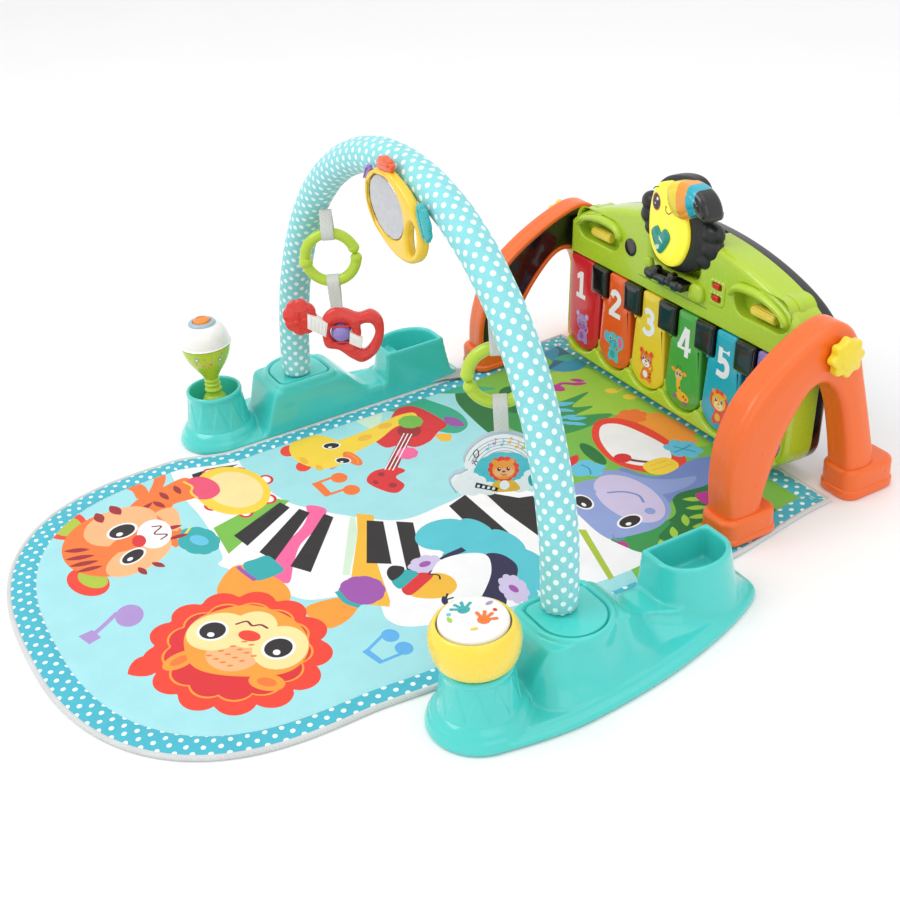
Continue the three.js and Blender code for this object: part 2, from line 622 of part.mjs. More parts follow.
const KEY_COLOURS = [COLOUR.red, COLOUR.orange, COLOUR.yellow, COLOUR.green, COLOUR.turquoise,
  COLOUR.lilac];
keyPlaces.forEach((x, i) => {
  add(piano, `key_${i + 1}`, pianoKey(x), KEY_COLOURS[i], 0.3);
});

// The five short black keys are one fixed moulding, joined by a bar behind the long keys.
function blackKeys() {
  const middle = (BLACK.top + BLACK.bottom) / 2;
  const bar = box(-2.6 * KEY.pitch, 2.6 * KEY.pitch, KEY.floor - 6.6, KEY.floor - GAP, -64, -36);
  const caps = blackPlaces.map((x) => upright(roundRect(BLACK.width / 2, BLACK.top - middle, 3, x, middle),
    BLACK.front, KEY.floor - 3, { bevel: 2, segments: 1 }));
  return join(bar, ...caps);
}

add(piano, 'black_keys', blackKeys(), COLOUR.black, 0.15);

for (const [side, s] of [['left', -1], ['right', 1]]) {
  add(piano, `${side}_roller`, rod(6.5, 40, 16).rotateY(Math.PI / 2)
    .translate(s * RECESS.x, PIANO.front + 8.5, RECESS.z - 9), COLOUR.yellow, 0.3);
}

SWITCH.z.forEach((z, i) => {
  add(piano, ['volume_switch', 'mode_switch'][i],
    box(SWITCH.x - 5, SWITCH.x + 5, PIANO.front - 2.5, PIANO.front + 5 - GAP, z - 3.5, z + 3.5),
    COLOUR.red, 0.3);
});

// ---- bird on its perch, in the scoop at the middle of the panel -----------------------

const BEAK = [[2, 126], [20, 133], [42, 133], [60, 127], [72, 115], [76, 100], [66, 98], [54, 102],
  [43, 94], [30, 89], [14, 91], [4, 101], [-1, 114]];

// The wings are thin and lie before the panel; the trunk and head fill the scoop.
function birdBody() {
  const outline = smoothShape([[2, 15], [-26, 17], [-42, 29], [-52, 48], [-68, 60], [-75, 76], [-64, 88],
    [-53, 94], [-44, 108], [-25, 124], [4, 133], [32, 136], [55, 131], [72, 120], [77, 104], [68, 96],
    [58, 88], [70, 76], [71, 54], [54, 34], [28, 18]], 42);
  const besideScoop = [-71, 71].map((x) => box(x - 28.5, x + 28.5, PIANO.front - GAP, 10, 0, 100));
  return cut(upright(outline, BIRD.middle, BIRD.back, { bevel: 3 }), ...besideScoop);
}

function heart(grow) {
  const half = 17 + grow;
  const { heartX: x, heartZ: z } = BIRD;
  const unit = [[0, 0.55], [0.45, 0.95], [1, 0.45], [0.62, -0.4], [0, -1], [-0.62, -0.4], [-1, 0.45],
    [-0.45, 0.95]];
  return smoothShape(unit.map(([u, v]) => [x + half * u, z + half * v]), 20);
}

function birdBelly() {
  const outline = smoothShape([[-28, 115], [-36, 96], [-38, 70], [-34, 46], [-20, 28], [0, 22], [18, 27],
    [30, 42], [36, 62], [32, 84], [18, 104], [0, 124], [-14, 123]], 26);
  return cut(upright(outline, BIRD.front, BIRD.middle - GAP, { bevel: 2 }),
    upright(heart(0.8), -60, 0), upright(beakShape(0.6), -60, 0));
}

function beakShape(grow) {
  const [cx, cz] = [38, 112];
  return smoothShape(BEAK.map(([x, z]) => {
    const r = Math.hypot(x - cx, z - cz);
    return [cx + (x - cx) * (1 + grow / r), cz + (z - cz) * (1 + grow / r)];
  }), 26);
}

add(piano, 'bird_perch', upright(roundRect(36, 5.5, 3, 0, 4), -38, PIANO.front - GAP,
  { bevel: 2, segments: 3 }), COLOUR.black, 0.15);
add(piano, 'bird_body', birdBody(), COLOUR.black, 0.3);
add(piano, 'bird_belly', birdBelly(), COLOUR.yellow, 0.4);
add(piano, 'bird_beak', upright(beakShape(0), BIRD.beakFront, BIRD.middle - GAP, { bevel: 2.5 }),
  COLOUR.orange, 0.3);
add(piano, 'heart_button', upright(heart(0), BIRD.front - 3, BIRD.middle - 3.2, { bevel: 1 }),
  COLOUR.teal, 0.3);

export default gym;
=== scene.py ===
import math

import bmesh
import bpy
import numpy as np
from bpy.props import FloatProperty, FloatVectorProperty, PointerProperty
from mathutils import Matrix, Vector
from mathutils.geometry import delaunay_2d_cdt


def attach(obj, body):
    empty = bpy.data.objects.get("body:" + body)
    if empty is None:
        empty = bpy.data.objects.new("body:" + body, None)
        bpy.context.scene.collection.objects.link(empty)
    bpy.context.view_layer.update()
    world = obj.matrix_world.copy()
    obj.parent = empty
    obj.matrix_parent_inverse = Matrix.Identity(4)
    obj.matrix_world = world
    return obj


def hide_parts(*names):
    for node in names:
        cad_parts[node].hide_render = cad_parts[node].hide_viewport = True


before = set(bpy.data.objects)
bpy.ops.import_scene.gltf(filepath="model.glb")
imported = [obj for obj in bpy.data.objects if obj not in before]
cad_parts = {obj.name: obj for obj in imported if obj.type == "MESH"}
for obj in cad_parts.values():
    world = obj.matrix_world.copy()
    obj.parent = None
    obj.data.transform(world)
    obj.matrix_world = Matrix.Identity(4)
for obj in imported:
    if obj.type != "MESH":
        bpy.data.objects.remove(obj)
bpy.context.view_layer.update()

bl_info = {"name": "Activity play gym", "version": (1, 0, 0), "blender": (4, 5, 0),
    "location": "View3D > Sidebar > Play gym",
    "description": "Builds the padded, moulded and printed surfaces of a play gym around its frame",
    "category": "Add Mesh",}

MM = 0.001

# Driving sizes in millimetres, the same as the frame's own.
MAT_EDGES = np.array([[-215, -298, 264], [-190, -298, 264], [-112, -274.6, 270], [225, -274.6, 270],
        [412, -296, 248]], float)
MAT_FRONT, MAT_REAR, MAT_ROUND = -449.0, 412.0, 0.8
ARCH_HALF, ARCH_RISE, ARCH_SPRING, ARCH_FOOT_Z = 305.0, 338.0, 90.0, 69.0
ARCH_LEAN = math.radians(3.8)
PIANO_AT, PIANO_LEAN = (-24.0, 415.0, 186.0), math.radians(4)
KEY_PITCH, KEY_WIDTH = 71.4, 68.6
TOY_YAW = math.radians(60)
LEG_SPLAY = 0.11

# The camera: yaw, pitch and roll in radians, its place in metres, and its lens in millimetres.
CAMERA_TURN = (-1.08411515, -0.536341222, -0.0774808388)
CAMERA_AT = (1.158385, -0.556258, 0.856969)
CAMERA_LENS = 52.998

INK = {"aqua": "#9fdbe1", "border": "#3fb2c6", "dot": "#eefaf9", "lawn": "#76b843",
    "lime": "#9ccb3c", "leaf": "#2f9148", "deep": "#14702f", "mint": "#2ba983", "pale": "#cfe6cd",
    "sea": "#1c8fae", "navy": "#10617f", "sky": "#5fbfe0", "red": "#d8232a", "scarlet": "#ea3b26",
    "maroon": "#9c1720", "orange": "#f0742a", "amber": "#f7992f", "sand": "#f7b85a",
    "cream": "#f7dd9a", "skin": "#f9b27c", "yellow": "#f4cf37", "mustard": "#eeb52d",
    "white": "#f3f1f3", "black": "#1b1216", "ink": "#1d1646", "pink": "#f0609a", "rose": "#ea4a72",
    "magenta": "#b9278a", "violet": "#9a4da6", "lilac": "#a88bc9", "mauve": "#cbbfe0",
    "blue": "#8b9dd2", "slate": "#7186c4", "cloud": "#4fbfcd", "teal": "#27a5a8",
    "note_blue": "#58a9e4", "olive": "#a9bf35", "brown": "#7a2430", "grey": "#8d9aa5",}


def linear(code):
    """The linear colour of a six-figure hex code: each channel through the sRGB curve."""
    c = np.array([int(code[i:i + 2], 16) for i in (1, 3, 5)]) / 255
    return tuple(np.where(c <= 0.04045, c / 12.92, ((c + 0.055) / 1.055) ** 2.4)) + (1.0,)


# ---- outlines -------------------------------------------------------------------------


def spline(points, per=8, closed=True):
    """Curve through the points: each span is the cubic whose end slopes are half the chord
    between the two neighbours."""
    p = np.asarray(points, float)
    if closed:
        a, b, c, d = np.roll(p, 1, 0), p, np.roll(p, -1, 0), np.roll(p, -2, 0)
    else:
        q = np.vstack([2 * p[0] - p[1], p, 2 * p[-1] - p[-2]])
        a, b, c, d = q[:-3], q[1:-2], q[2:-1], q[3:]
    t = np.linspace(0, 1, per, endpoint=False)[None, :, None]
    a, b, c, d = (v[:, None, :] for v in (a, b, c, d))
    out = 0.5 * (2 * b + (c - a) * t + (2 * a - 5 * b + 4 * c - d) * t ** 2 + (3 * b - a - 3 * c
            + d) * t ** 3)
    out = out.reshape(-1, p.shape[1])
    return out if closed else np.vstack([out, p[-1:]])


def oval(x, y, a, b, turn=0.0, n=28):
    """Ellipse: a cos t along and b sin t across, turned by some degrees about its middle."""
    t, w = np.linspace(0, 2 * np.pi, n, endpoint=False), math.radians(turn)
    u, v = a * np.cos(t), b * np.sin(t)
    return np.c_[x + u * math.cos(w) - v * math.sin(w), y + u * math.sin(w) + v * math.cos(w)]


def scallop(x, y, a, b, lobes, depth, turn=0.0):
    """Flower edge: an ellipse, its radius times 1 - depth (1 - |sin(lobes t / 2)|^0.7)."""
    t, w = np.linspace(0, 2 * np.pi, 168, endpoint=False), math.radians(turn)
    r = 1 - depth * (1 - np.abs(np.sin(lobes * t / 2)) ** 0.7)
    u, v = a * r * np.cos(t), b * r * np.sin(t)
    return np.c_[x + u * math.cos(w) - v * math.sin(w), y + u * math.sin(w) + v * math.cos(w)]


def leaf(x, y, length, width, turn):
    """Pointed leaf: half width is width sin(pi t) to the power 0.8 along its length."""
    t, w = np.linspace(0, 1, 12), math.radians(turn)
    half = width / 2 * np.sin(np.pi * t) ** 0.8
    u = np.r_[t, t[-2:0:-1]] * length
    v = np.r_[half, -half[-2:0:-1]]
    return np.c_[x + u * math.cos(w) - v * math.sin(w), y + u * math.sin(w) + v * math.cos(w)]


def stroke(points, width):
    """Pen line: the curve through the points, moved half a width to both sides."""
    p = spline(points, 5, closed=False) if len(points) > 2 else np.asarray(points, float)
    d = np.gradient(p, axis=0)
    n = np.c_[-d[:, 1], d[:, 0]] / np.maximum(np.linalg.norm(d, axis=1), 1e-9)[:, None]
    half = width / 2
    return np.vstack([p + n * half, (p - n * half)[::-1]])


def round_rect(x0, x1, y0, y1, r):
    """Rectangle with quarter-circle corners."""
    t = np.linspace(0, np.pi / 2, 6)
    corners = [(x1 - r, y0 + r, -np.pi / 2), (x1 - r, y1 - r, 0), (x0 + r, y1 - r, np.pi / 2),
        (x0 + r, y0 + r, np.pi)]
    return np.vstack([np.c_[cx + r * np.cos(t + a), cy + r * np.sin(t + a)] for cx, cy,
            a in corners])


def notes(x, y, size, turn, colour, pair=True):
    """A printed music note, or a beamed pair: oval heads, stems and a slanted beam."""
    c, s = math.cos(math.radians(turn)), math.sin(math.radians(turn))

    def at(points):
        p = np.asarray(points, float) * size
        return np.c_[x + p[:, 0] * c - p[:, 1] * s, y + p[:, 0] * s + p[:, 1] * c]

    parts = [oval(0, 0, 0.26, 0.2, 20, 20), np.array([[0.16, 0], [0.26, 0], [0.26, 1], [0.16, 1]])]
    if pair:
        parts += [oval(0.85, 0.08, 0.26, 0.2, 20, 20), np.array([[1.01, 0.1], [1.11, 0.1],
                [1.11, 1.1], [1.01, 1.1]]), np.array([[0.16, 0.82], [1.11, 0.92], [1.11, 1.12],
                [0.16, 1.02]])]
    else:
        parts += [np.array([[0.2, 1.0], [0.2, 0.72], [0.62, 0.5], [0.66, 0.62]])]
    return [(colour, at(p)) for p in parts]


# ---- flat and solid shapes: a shape is (points, triangles) -----------------------------


def ccw(loop):
    """The loop, turned anticlockwise: its signed area is half the sum of cross products."""
    x, y = loop[:, 0], loop[:, 1]
    area = np.sum(x * np.roll(y, -1) - np.roll(x, -1) * y)
    return loop if area > 0 else loop[::-1]


def inside(points, loop):
    """Even-odd test: how often a level line from each point crosses the loop."""
    a, b = loop, np.roll(loop, -1, 0)
    x, y = points[:, 0:1], points[:, 1:2]
    crosses = (a[None, :, 1] > y) != (b[None, :, 1] > y)
    with np.errstate(divide="ignore", invalid="ignore"):
        at = a[None, :, 0] + (y - a[None, :, 1]) * (b[None, :, 0] - a[None, :, 0]) / (b[None, :, 1]
            - a[None, :, 1])
    return (np.sum(crosses & (x < at), axis=1) % 2) == 1


def edge_distance(points, loop):
    """Distance from each point to the nearest side of the loop, and how far along it that is."""
    a, b = loop, np.roll(loop, -1, 0)
    d = b - a
    length = np.linalg.norm(d, axis=1)
    start = np.r_[0, np.cumsum(length)[:-1]]
    best, along = np.full(len(points), 1e9), np.zeros(len(points))
    for s in range(0, len(points), 4000):
        p = points[s:s + 4000, None, :]
        t = np.clip(np.sum((p - a) * d, 2) / np.maximum(length ** 2, 1e-12), 0, 1)
        dist = np.linalg.norm(p - (a + t[..., None] * d), axis=2)
        i = dist.argmin(1)
        row = np.arange(len(i))
        best[s:s + 4000], along[s:s + 4000] = dist[row, i], start[i] + t[row, i] * length[i]
    return best, along


def triangulate(loops, extra=None):
    """Delaunay triangles that keep every side of the loops, with extra points between them."""
    points, edges, n = [], [], 0
    for loop in loops:
        m = len(loop)
        points.append(loop)
        edges += [(n + i, n + (i + 1) % m) for i in range(m)]
        n += m
    if extra is not None and len(extra):
        points.append(extra)
    flat = [Vector((float(x), float(y))) for x, y in np.vstack(points)]
    found = delaunay_2d_cdt(flat, edges, [], 0, 1e-4, False)
    return np.array([tuple(v) for v in found[0]], float), np.array([tuple(f) for f in found[2]],
        int)


def grid_points(low, high, step):
    """Rows of points one step apart, every other row moved half a step."""
    xs, ys = np.arange(low[0], high[0], step), np.arange(low[1], high[1], step * 0.866)
    x, y = np.meshgrid(xs, ys)
    x[1::2] += step / 2
    return np.c_[x.ravel(), y.ravel()]


def fill(loops, step=0.0):
    """Triangles inside the first loop and outside the others, over a grid of points one step apart
    if step is given."""
    extra = None
    if step:
        extra = grid_points(loops[0].min(0), loops[0].max(0), step)
        extra = extra[inside(extra, loops[0])]
        for loop in loops:
            extra = extra[edge_distance(extra, loop)[0] > step * 0.45]
        for hole in loops[1:]:
            extra = extra[~inside(extra, hole)]
    points, tris = triangulate(loops, extra)
    middle = points[tris].mean(1)
    keep = inside(middle, loops[0])
    for hole in loops[1:]:
        keep &= ~inside(middle, hole)
    return points, tris[keep]


def join(*shapes):
    """Several shapes as one list of points and triangles."""
    start = np.cumsum([0] + [len(v) for v, _ in shapes])
    return np.vstack([v for v, _ in shapes]), np.vstack([t + s for (_, t), s in zip(shapes, start)])


def grid(points, ring=False):
    """Triangles over a grid of points, rows by columns: columns close up, and rows too if ring."""
    rows, cols = points.shape[:2]
    r, c = np.meshgrid(np.arange(rows if ring else rows - 1), np.arange(cols), indexing="ij")
    a, b = r * cols + c, r * cols + (c + 1) % cols
    d, e = ((r + 1) % rows) * cols + c, ((r + 1) % rows) * cols + (c + 1) % cols
    tris = np.stack([np.stack([a, b, e], -1), np.stack([a, e, d], -1)], 2).reshape(-1, 3)
    return points.reshape(-1, 3), tris


def capped(points):
    """A grid whose columns close up, with a fan of triangles over its first and last rows."""
    v, t = grid(points)
    rows, cols = points.shape[:2]
    i = np.arange(cols)
    j = (i + 1) % cols
    last = (rows - 1) * cols
    v = np.vstack([v, points[0].mean(0), points[-1].mean(0)])
    a, b = np.full(cols, rows * cols), np.full(cols, rows * cols + 1)
    return v, np.vstack([t, np.c_[a, j, i], np.c_[b, last + i, last + j]])


def lathe(profile, x=0.0, y=0.0, n=96, per=6, sharp=False):
    """Turned body: the curve through the (radius, height) points, carried round an upright axis."""
    p = np.asarray(profile, float) if sharp else spline(profile, per, closed=False)
    p[:, 0] = np.maximum(p[:, 0], 0)
    t = np.linspace(0, 2 * np.pi, n, endpoint=False)
    return capped(np.stack([x + p[:, 0:1] * np.cos(t), y + p[:, 0:1] * np.sin(t),
            np.repeat(p[:, 1:2], n, 1)], -1))


def sweep(path, axis, radius, sides=24, closed=False):
    """Tube: a circle of the given radius at each point of a plane path, in the plane of the path's
    side direction and the axis."""
    path = np.asarray(path, float)
    if closed:
        d = np.roll(path, -1, 0) - np.roll(path, 1, 0)
    else:
        d = np.gradient(path, axis=0)
    d /= np.linalg.norm(d, axis=1)[:, None]
    axis = np.broadcast_to(np.asarray(axis, float), path.shape)
    side = np.cross(d, axis)
    side /= np.linalg.norm(side, axis=1)[:, None]
    t = np.linspace(0, 2 * np.pi, sides, endpoint=False)
    r = np.broadcast_to(np.asarray(radius, float), (len(path),))[:, None, None]
    points = path[:, None] + r * (np.cos(t)[:, None] * side[:, None] + np.sin(t)[:, None] * axis[:,
            None])
    return grid(points, ring=True) if closed else capped(points)


def band(path, across, width, thick):
    """Strap: a thin round-edged oblong carried along a path; across is the way its width runs."""
    path, across = np.asarray(path, float), np.asarray(across, float)
    d = np.gradient(path, axis=0)
    up = np.cross(np.broadcast_to(across, d.shape), d)
    up /= np.linalg.norm(up, axis=1)[:, None]
    t = np.linspace(0, 2 * np.pi, 20, endpoint=False)
    u = np.sign(np.cos(t)) * np.abs(np.cos(t)) ** 0.25 * width / 2
    v = np.sign(np.sin(t)) * np.abs(np.sin(t)) ** 0.6 * thick / 2
    return capped(path[:, None] + u[:, None] * across + v[:, None] * up[:, None])


def ball(x, y, z, a, b=None, c=None, n=40):
    """Ellipsoid with half sizes a, b, c: rings of a cosine times a circle."""
    b, c = b or a, c or a
    s, t = np.linspace(-np.pi / 2, np.pi / 2, n // 2), np.linspace(0, 2 * np.pi, n, endpoint=False)
    return capped(np.stack([x + a * np.cos(s)[:, None] * np.cos(t), y + b * np.cos(s)[:,
            None] * np.sin(t), z + c * np.repeat(np.sin(s)[:, None], n, 1)], -1))


def side_normals(loop):
    """Outward direction at each point of a loop, longer at corners so that sides stay parallel."""
    e = np.roll(loop, -1, 0) - loop
    n = np.c_[e[:, 1], -e[:, 0]] / np.maximum(np.linalg.norm(e, axis=1), 1e-9)[:, None]
    m = n + np.roll(n, 1, 0)
    m /= np.maximum(np.linalg.norm(m, axis=1), 1e-9)[:, None]
    return m / np.clip(np.sum(m * n, 1), 0.6, 1)[:, None]


def inset(loop, distance):
    """The loop moved inwards by a distance, or a distance for each point."""
    loop = ccw(loop)
    return loop - side_normals(loop) * np.reshape(distance, (-1, 1))


def swell(points, loop, height, reach):
    """Pillow height: from nothing at the loop, a quarter circle up to its full height at reach."""
    d = np.clip(edge_distance(points, loop)[0] / reach, 0, 1)
    return height * np.sqrt(np.clip(1 - (1 - d) ** 2, 0, 1))


def plate(outline, low, high, rim, holes=(), dome=0.0, reach=10.0, step=0.0, steps=5, under=None,
        hole_rim=None):
    """Moulded plate: walls from low to high whose lower and upper edges turn in over quarter
    rounds of radius under and rim (hole_rim round the holes); its top swells by dome."""
    t = np.linspace(0, np.pi / 2, steps + 1)
    shapes, tops, bottoms = [], [], []
    for k, loop in enumerate([ccw(outline)] + [ccw(h)[::-1] for h in holes]):
        upper = rim if k == 0 or hole_rim is None else hole_rim
        lower = upper if under is None else under
        insets = np.r_[lower * (1 - np.sin(t)), upper * (1 - np.cos(t))]
        heights = np.r_[low + lower * (1 - np.cos(t)), high - upper * (1 - np.sin(t))]
        rows = loop[None] - side_normals(loop)[None] * insets[:, None, None]
        points = np.concatenate([rows, np.broadcast_to(heights[:, None, None], rows.shape[:2] + (1,
                ))], -1)
        shapes.append(grid(points))
        tops.append(rows[-1])
        bottoms.append(rows[0])
    flat, tris = fill(tops, step)
    raised = np.zeros(len(flat))
    if dome:
        raised = np.min([swell(flat, loop, dome, reach) for loop in tops], axis=0)
    shapes.append((np.c_[flat, high + raised], tris))
    base, below = fill(bottoms)
    shapes.append((np.c_[base, np.full(len(base), low)], below[:, ::-1]))
    return join(*shapes)


def moved(shape, *steps):
    """A shape whose points pass through each of the given steps."""
    points, tris = shape
    for step in steps:
        points = step(points)
    return points, tris


def shift(x=0.0, y=0.0, z=0.0):
    return lambda p: p + np.array([x, y, z])


def turn(axis, degrees):
    """A step that turns points about one of the three axes."""
    m = np.array(Matrix.Rotation(math.radians(degrees), 3, axis))
    return lambda p: p @ m.T


def stand(p):
    """A plate stood upright: its top faces the round end of the mat."""
    return np.c_[p[:, 0], -p[:, 2], p[:, 1]]


def sidewise(p):
    """A plate stood across: its outline in Y and Z, and its thickness along X."""
    return np.c_[p[:, 2], p[:, 0], p[:, 1]]


def mirror(p):
    return p * np.array([-1.0, 1.0, 1.0])


def on_piano(p):
    """From the tilting panel's own axes to the gym's frame."""
    c, s = math.cos(PIANO_LEAN), math.sin(PIANO_LEAN)
    x, y, z = p.T
    return np.c_[PIANO_AT[0] + x, PIANO_AT[1] + y * c + z * s, PIANO_AT[2] - y * s + z * c]


def lean_arch(p):
    """The arch tips back a little about the line of its feet."""
    c, s = math.cos(ARCH_LEAN), math.sin(ARCH_LEAN)
    x, y, z = p.T
    z = z - ARCH_FOOT_Z
    return np.c_[x, y * c + z * s, ARCH_FOOT_Z - y * s + z * c]


# ---- pieces ---------------------------------------------------------------------------


def new_mesh(name, points, tris):
    mesh = bpy.data.meshes.new(name)
    mesh.vertices.add(len(points))
    mesh.vertices.foreach_set("co", (np.asarray(points) * MM).astype(np.float32).ravel())
    mesh.loops.add(len(tris) * 3)
    mesh.loops.foreach_set("vertex_index", np.asarray(tris, np.int32).ravel())
    mesh.polygons.add(len(tris))
    mesh.polygons.foreach_set("loop_start", np.arange(0, len(tris) * 3, 3, dtype=np.int32))
    mesh.update(calc_edges=True)
    mesh.validate()
    return mesh


def finish_piece(mesh, name, material, body, slot, stands_for=(), sharp=38.0):
    mesh.shade_smooth()
    if sharp:
        mesh.set_sharp_from_angle(angle=math.radians(sharp))
    mesh.materials.append(material)
    obj = bpy.data.objects.new(name, mesh)
    bpy.context.scene.collection.objects.link(obj)
    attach(obj, body)
    if stands_for:
        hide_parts(*stands_for)
    return obj


def piece(name, shape, material, body, slot, stands_for=(), sharp=38.0):
    """A closed piece: doubles welded, faces turned outwards, smooth but for its sharp edges."""
    mesh = new_mesh(name, *shape)
    b = bmesh.new()
    b.from_mesh(mesh)
    bmesh.ops.remove_doubles(b, verts=b.verts, dist=4e-6)
    bmesh.ops.dissolve_degenerate(b, dist=1e-7, edges=b.edges)
    bmesh.ops.recalc_face_normals(b, faces=b.faces)
    b.to_mesh(mesh)
    b.free()
    return finish_piece(mesh, name, material, body, slot, stands_for, sharp)


def paint(mesh, colours):
    """One colour for each triangle, kept on its corners."""
    layer = mesh.color_attributes.new("ink", "FLOAT_COLOR", "CORNER")
    layer.data.foreach_set("color", np.repeat(colours, 3, axis=0).astype(np.float32).ravel())


def artwork(name, art, place, body, slot, lift=0.06, step=0.0):
    """Printed pictures: each outline filled and laid a hair above the last, then placed on a
    surface. place takes x, y and height arrays and gives points."""
    points, tris, colours, n = [], [], [], 0
    for k, (colour, loop) in enumerate(art):
        flat, t = fill([ccw(np.asarray(loop, float))], step)
        points.append(place(flat[:, 0], flat[:, 1], np.full(len(flat), lift * (1 + k * 0.25))))
        tris.append(t + n)
        colours.append(np.tile(linear(INK[colour]), (len(t), 1)))
        n += len(flat)
    mesh = new_mesh(name, np.vstack(points), np.vstack(tris))
    paint(mesh, np.vstack(colours))
    return finish_piece(mesh, name, MATERIALS["sticker"], body, slot, sharp=0)


# ---- node groups and materials ----------------------------------------------------------


def node_group(name, inputs, outputs):
    """A new shader group with named sockets: each is (kind, name, default)."""
    group = bpy.data.node_groups.new(name, "ShaderNodeTree")
    for kind, label, value in inputs:
        socket = group.interface.new_socket(label, in_out="INPUT", socket_type="NodeSocket" + kind)
        if value is not None:
            socket.default_value = value
    for kind, label in outputs:
        group.interface.new_socket(label, in_out="OUTPUT", socket_type="NodeSocket" + kind)
    return group, Nodes(group)


class Nodes:
    """Short ways to add nodes to a tree and to join their sockets."""

    def __init__(self, tree):
        self.tree = tree

    def add(self, kind, values=None, **settings):
        node = self.tree.nodes.new(kind)
        for key, value in settings.items():
            setattr(node, key, value)
        for key, value in (values or {}).items():
            self.put(node.inputs[key], value)
        return node

    def put(self, socket, value):
        if isinstance(value, bpy.types.NodeSocket):
            self.tree.links.new(value, socket)
        else:
            socket.default_value = value

    def math(self, operation, a, b=0.0, c=0.0):
        return self.add("ShaderNodeMath", {0: a, 1: b, 2: c}, operation=operation).outputs[0]

    def mix(self, factor, a, b, blend="MIX"):
        node = self.add("ShaderNodeMix", data_type="RGBA", blend_type=blend)
        self.put(node.inputs[0], factor)
        self.put(node.inputs[6], a)
        self.put(node.inputs[7], b)
        return node.outputs[2]

    def span(self, value, low, high, new_low, new_high):
        return self.add("ShaderNodeMapRange", {0: value, 1: low, 2: high, 3: new_low,
                4: new_high}).outputs[0]


def moulded_group():
    """Moulded plastic: slow drifts of colour, cloudy gloss, and a fine skin like orange peel."""
    group, n = node_group("Moulded", [("Vector", "Vector", None), ("Color", "Colour",
            (0.5, 0.5, 0.5, 1)), ("Float", "Drift", 0.06), ("Float", "Roughness", 0.25)],
        [("Color", "Colour"), ("Float", "Roughness"), ("Float", "Height")])
    i = n.add("NodeGroupInput")
    slow = n.add("ShaderNodeTexNoise", {"Vector": i.outputs["Vector"], "Scale": 14.0,
            "Detail": 3.0})
    skin = n.add("ShaderNodeTexNoise", {"Vector": i.outputs["Vector"], "Scale": 900.0,
            "Detail": 2.0})
    dust = n.add("ShaderNodeTexNoise", {"Vector": i.outputs["Vector"], "Scale": 120.0,
            "Detail": 6.0, "Roughness": 0.7})
    amount = n.math("MULTIPLY", n.span(slow.outputs[0], 0.3, 0.7, 0.0, 1.0), i.outputs["Drift"])
    darker = n.mix(1.0, i.outputs["Colour"], (0.72, 0.74, 0.76, 1), "MULTIPLY")
    rough = n.math("ADD", i.outputs["Roughness"], n.span(dust.outputs[0], 0.35, 0.75, -0.03, 0.09))
    height = n.math("ADD", n.math("MULTIPLY", skin.outputs[0], 0.35), slow.outputs[0])
    n.add("NodeGroupOutput", {"Colour": n.mix(amount, i.outputs["Colour"], darker),
            "Roughness": rough, "Height": height})
    return group


def weave_group():
    """Plain weave: two crossing sets of threads, with a little fuzz, as a height and a shade."""
    group, n = node_group("Weave", [("Vector", "Vector", None), ("Float", "Threads", 900.0)],
        [("Float", "Height"), ("Float", "Shade")])
    i = n.add("NodeGroupInput")
    parts = n.add("ShaderNodeSeparateXYZ", {0: i.outputs["Vector"]})
    rows = [n.math("SINE", n.math("MULTIPLY", parts.outputs[k], i.outputs["Threads"])) for k in (0,
            1)]
    fuzz = n.add("ShaderNodeTexNoise", {"Vector": i.outputs["Vector"], "Scale": 700.0,
            "Detail": 4.0})
    slow = n.add("ShaderNodeTexNoise", {"Vector": i.outputs["Vector"], "Scale": 30.0,
            "Detail": 3.0})
    height = n.math("ADD", n.math("MULTIPLY", rows[0], rows[1]), fuzz.outputs[0])
    n.add("NodeGroupOutput", {"Height": height, "Shade": n.math("ADD", n.math("MULTIPLY", height,
            0.25), n.math("MULTIPLY", slow.outputs[0], 0.9))})
    return group


def dots_group():
    """Round dots in staggered rows over (along, across) coordinates in metres, as a mask."""
    group, n = node_group("Dots", [("Vector", "Vector", None), ("Float", "Pitch", 0.015),
            ("Float", "Row", 0.0078), ("Float", "Radius", 0.003)], [("Float", "Mask")])
    i = n.add("NodeGroupInput")
    parts = n.add("ShaderNodeSeparateXYZ", {0: i.outputs["Vector"]})
    row = n.math("DIVIDE", parts.outputs[1], i.outputs["Row"])
    odd = n.math("MULTIPLY", n.math("MODULO", n.math("FLOOR", row), 2.0), 0.5)
    x = n.math("SUBTRACT", n.math("FRACT", n.math("ADD", n.math("DIVIDE", parts.outputs[0],
            i.outputs["Pitch"]), odd)), 0.5)
    y = n.math("SUBTRACT", n.math("FRACT", row), 0.5)
    x, y = n.math("MULTIPLY", x, i.outputs["Pitch"]), n.math("MULTIPLY", y, i.outputs["Row"])
    away = n.math("SQRT", n.math("ADD", n.math("MULTIPLY", x, x), n.math("MULTIPLY", y, y)))
    edge = n.math("SUBTRACT", i.outputs["Radius"], away)
    n.add("NodeGroupOutput", {"Mask": n.span(edge, -0.00018, 0.00018, 0.0, 1.0)})
    return group


def material(name):
    m = bpy.data.materials.new(name)
    m.use_nodes = True
    m.node_tree.nodes.clear()
    n = Nodes(m.node_tree)
    shader = n.add("ShaderNodeBsdfPrincipled")
    n.add("ShaderNodeOutputMaterial", {"Surface": shader.outputs[0]})
    return m, n, shader


def group_node(n, name, **values):
    node = n.add("ShaderNodeGroup", node_tree=bpy.data.node_groups[name])
    for key, value in values.items():
        n.put(node.inputs[key], value)
    return node


def place_coords(n):
    return n.add("ShaderNodeTexCoord").outputs["Object"]


def bump(n, height, strength, distance):
    return n.add("ShaderNodeBump", {"Height": height, "Strength": strength,
            "Distance": distance}).outputs[0]


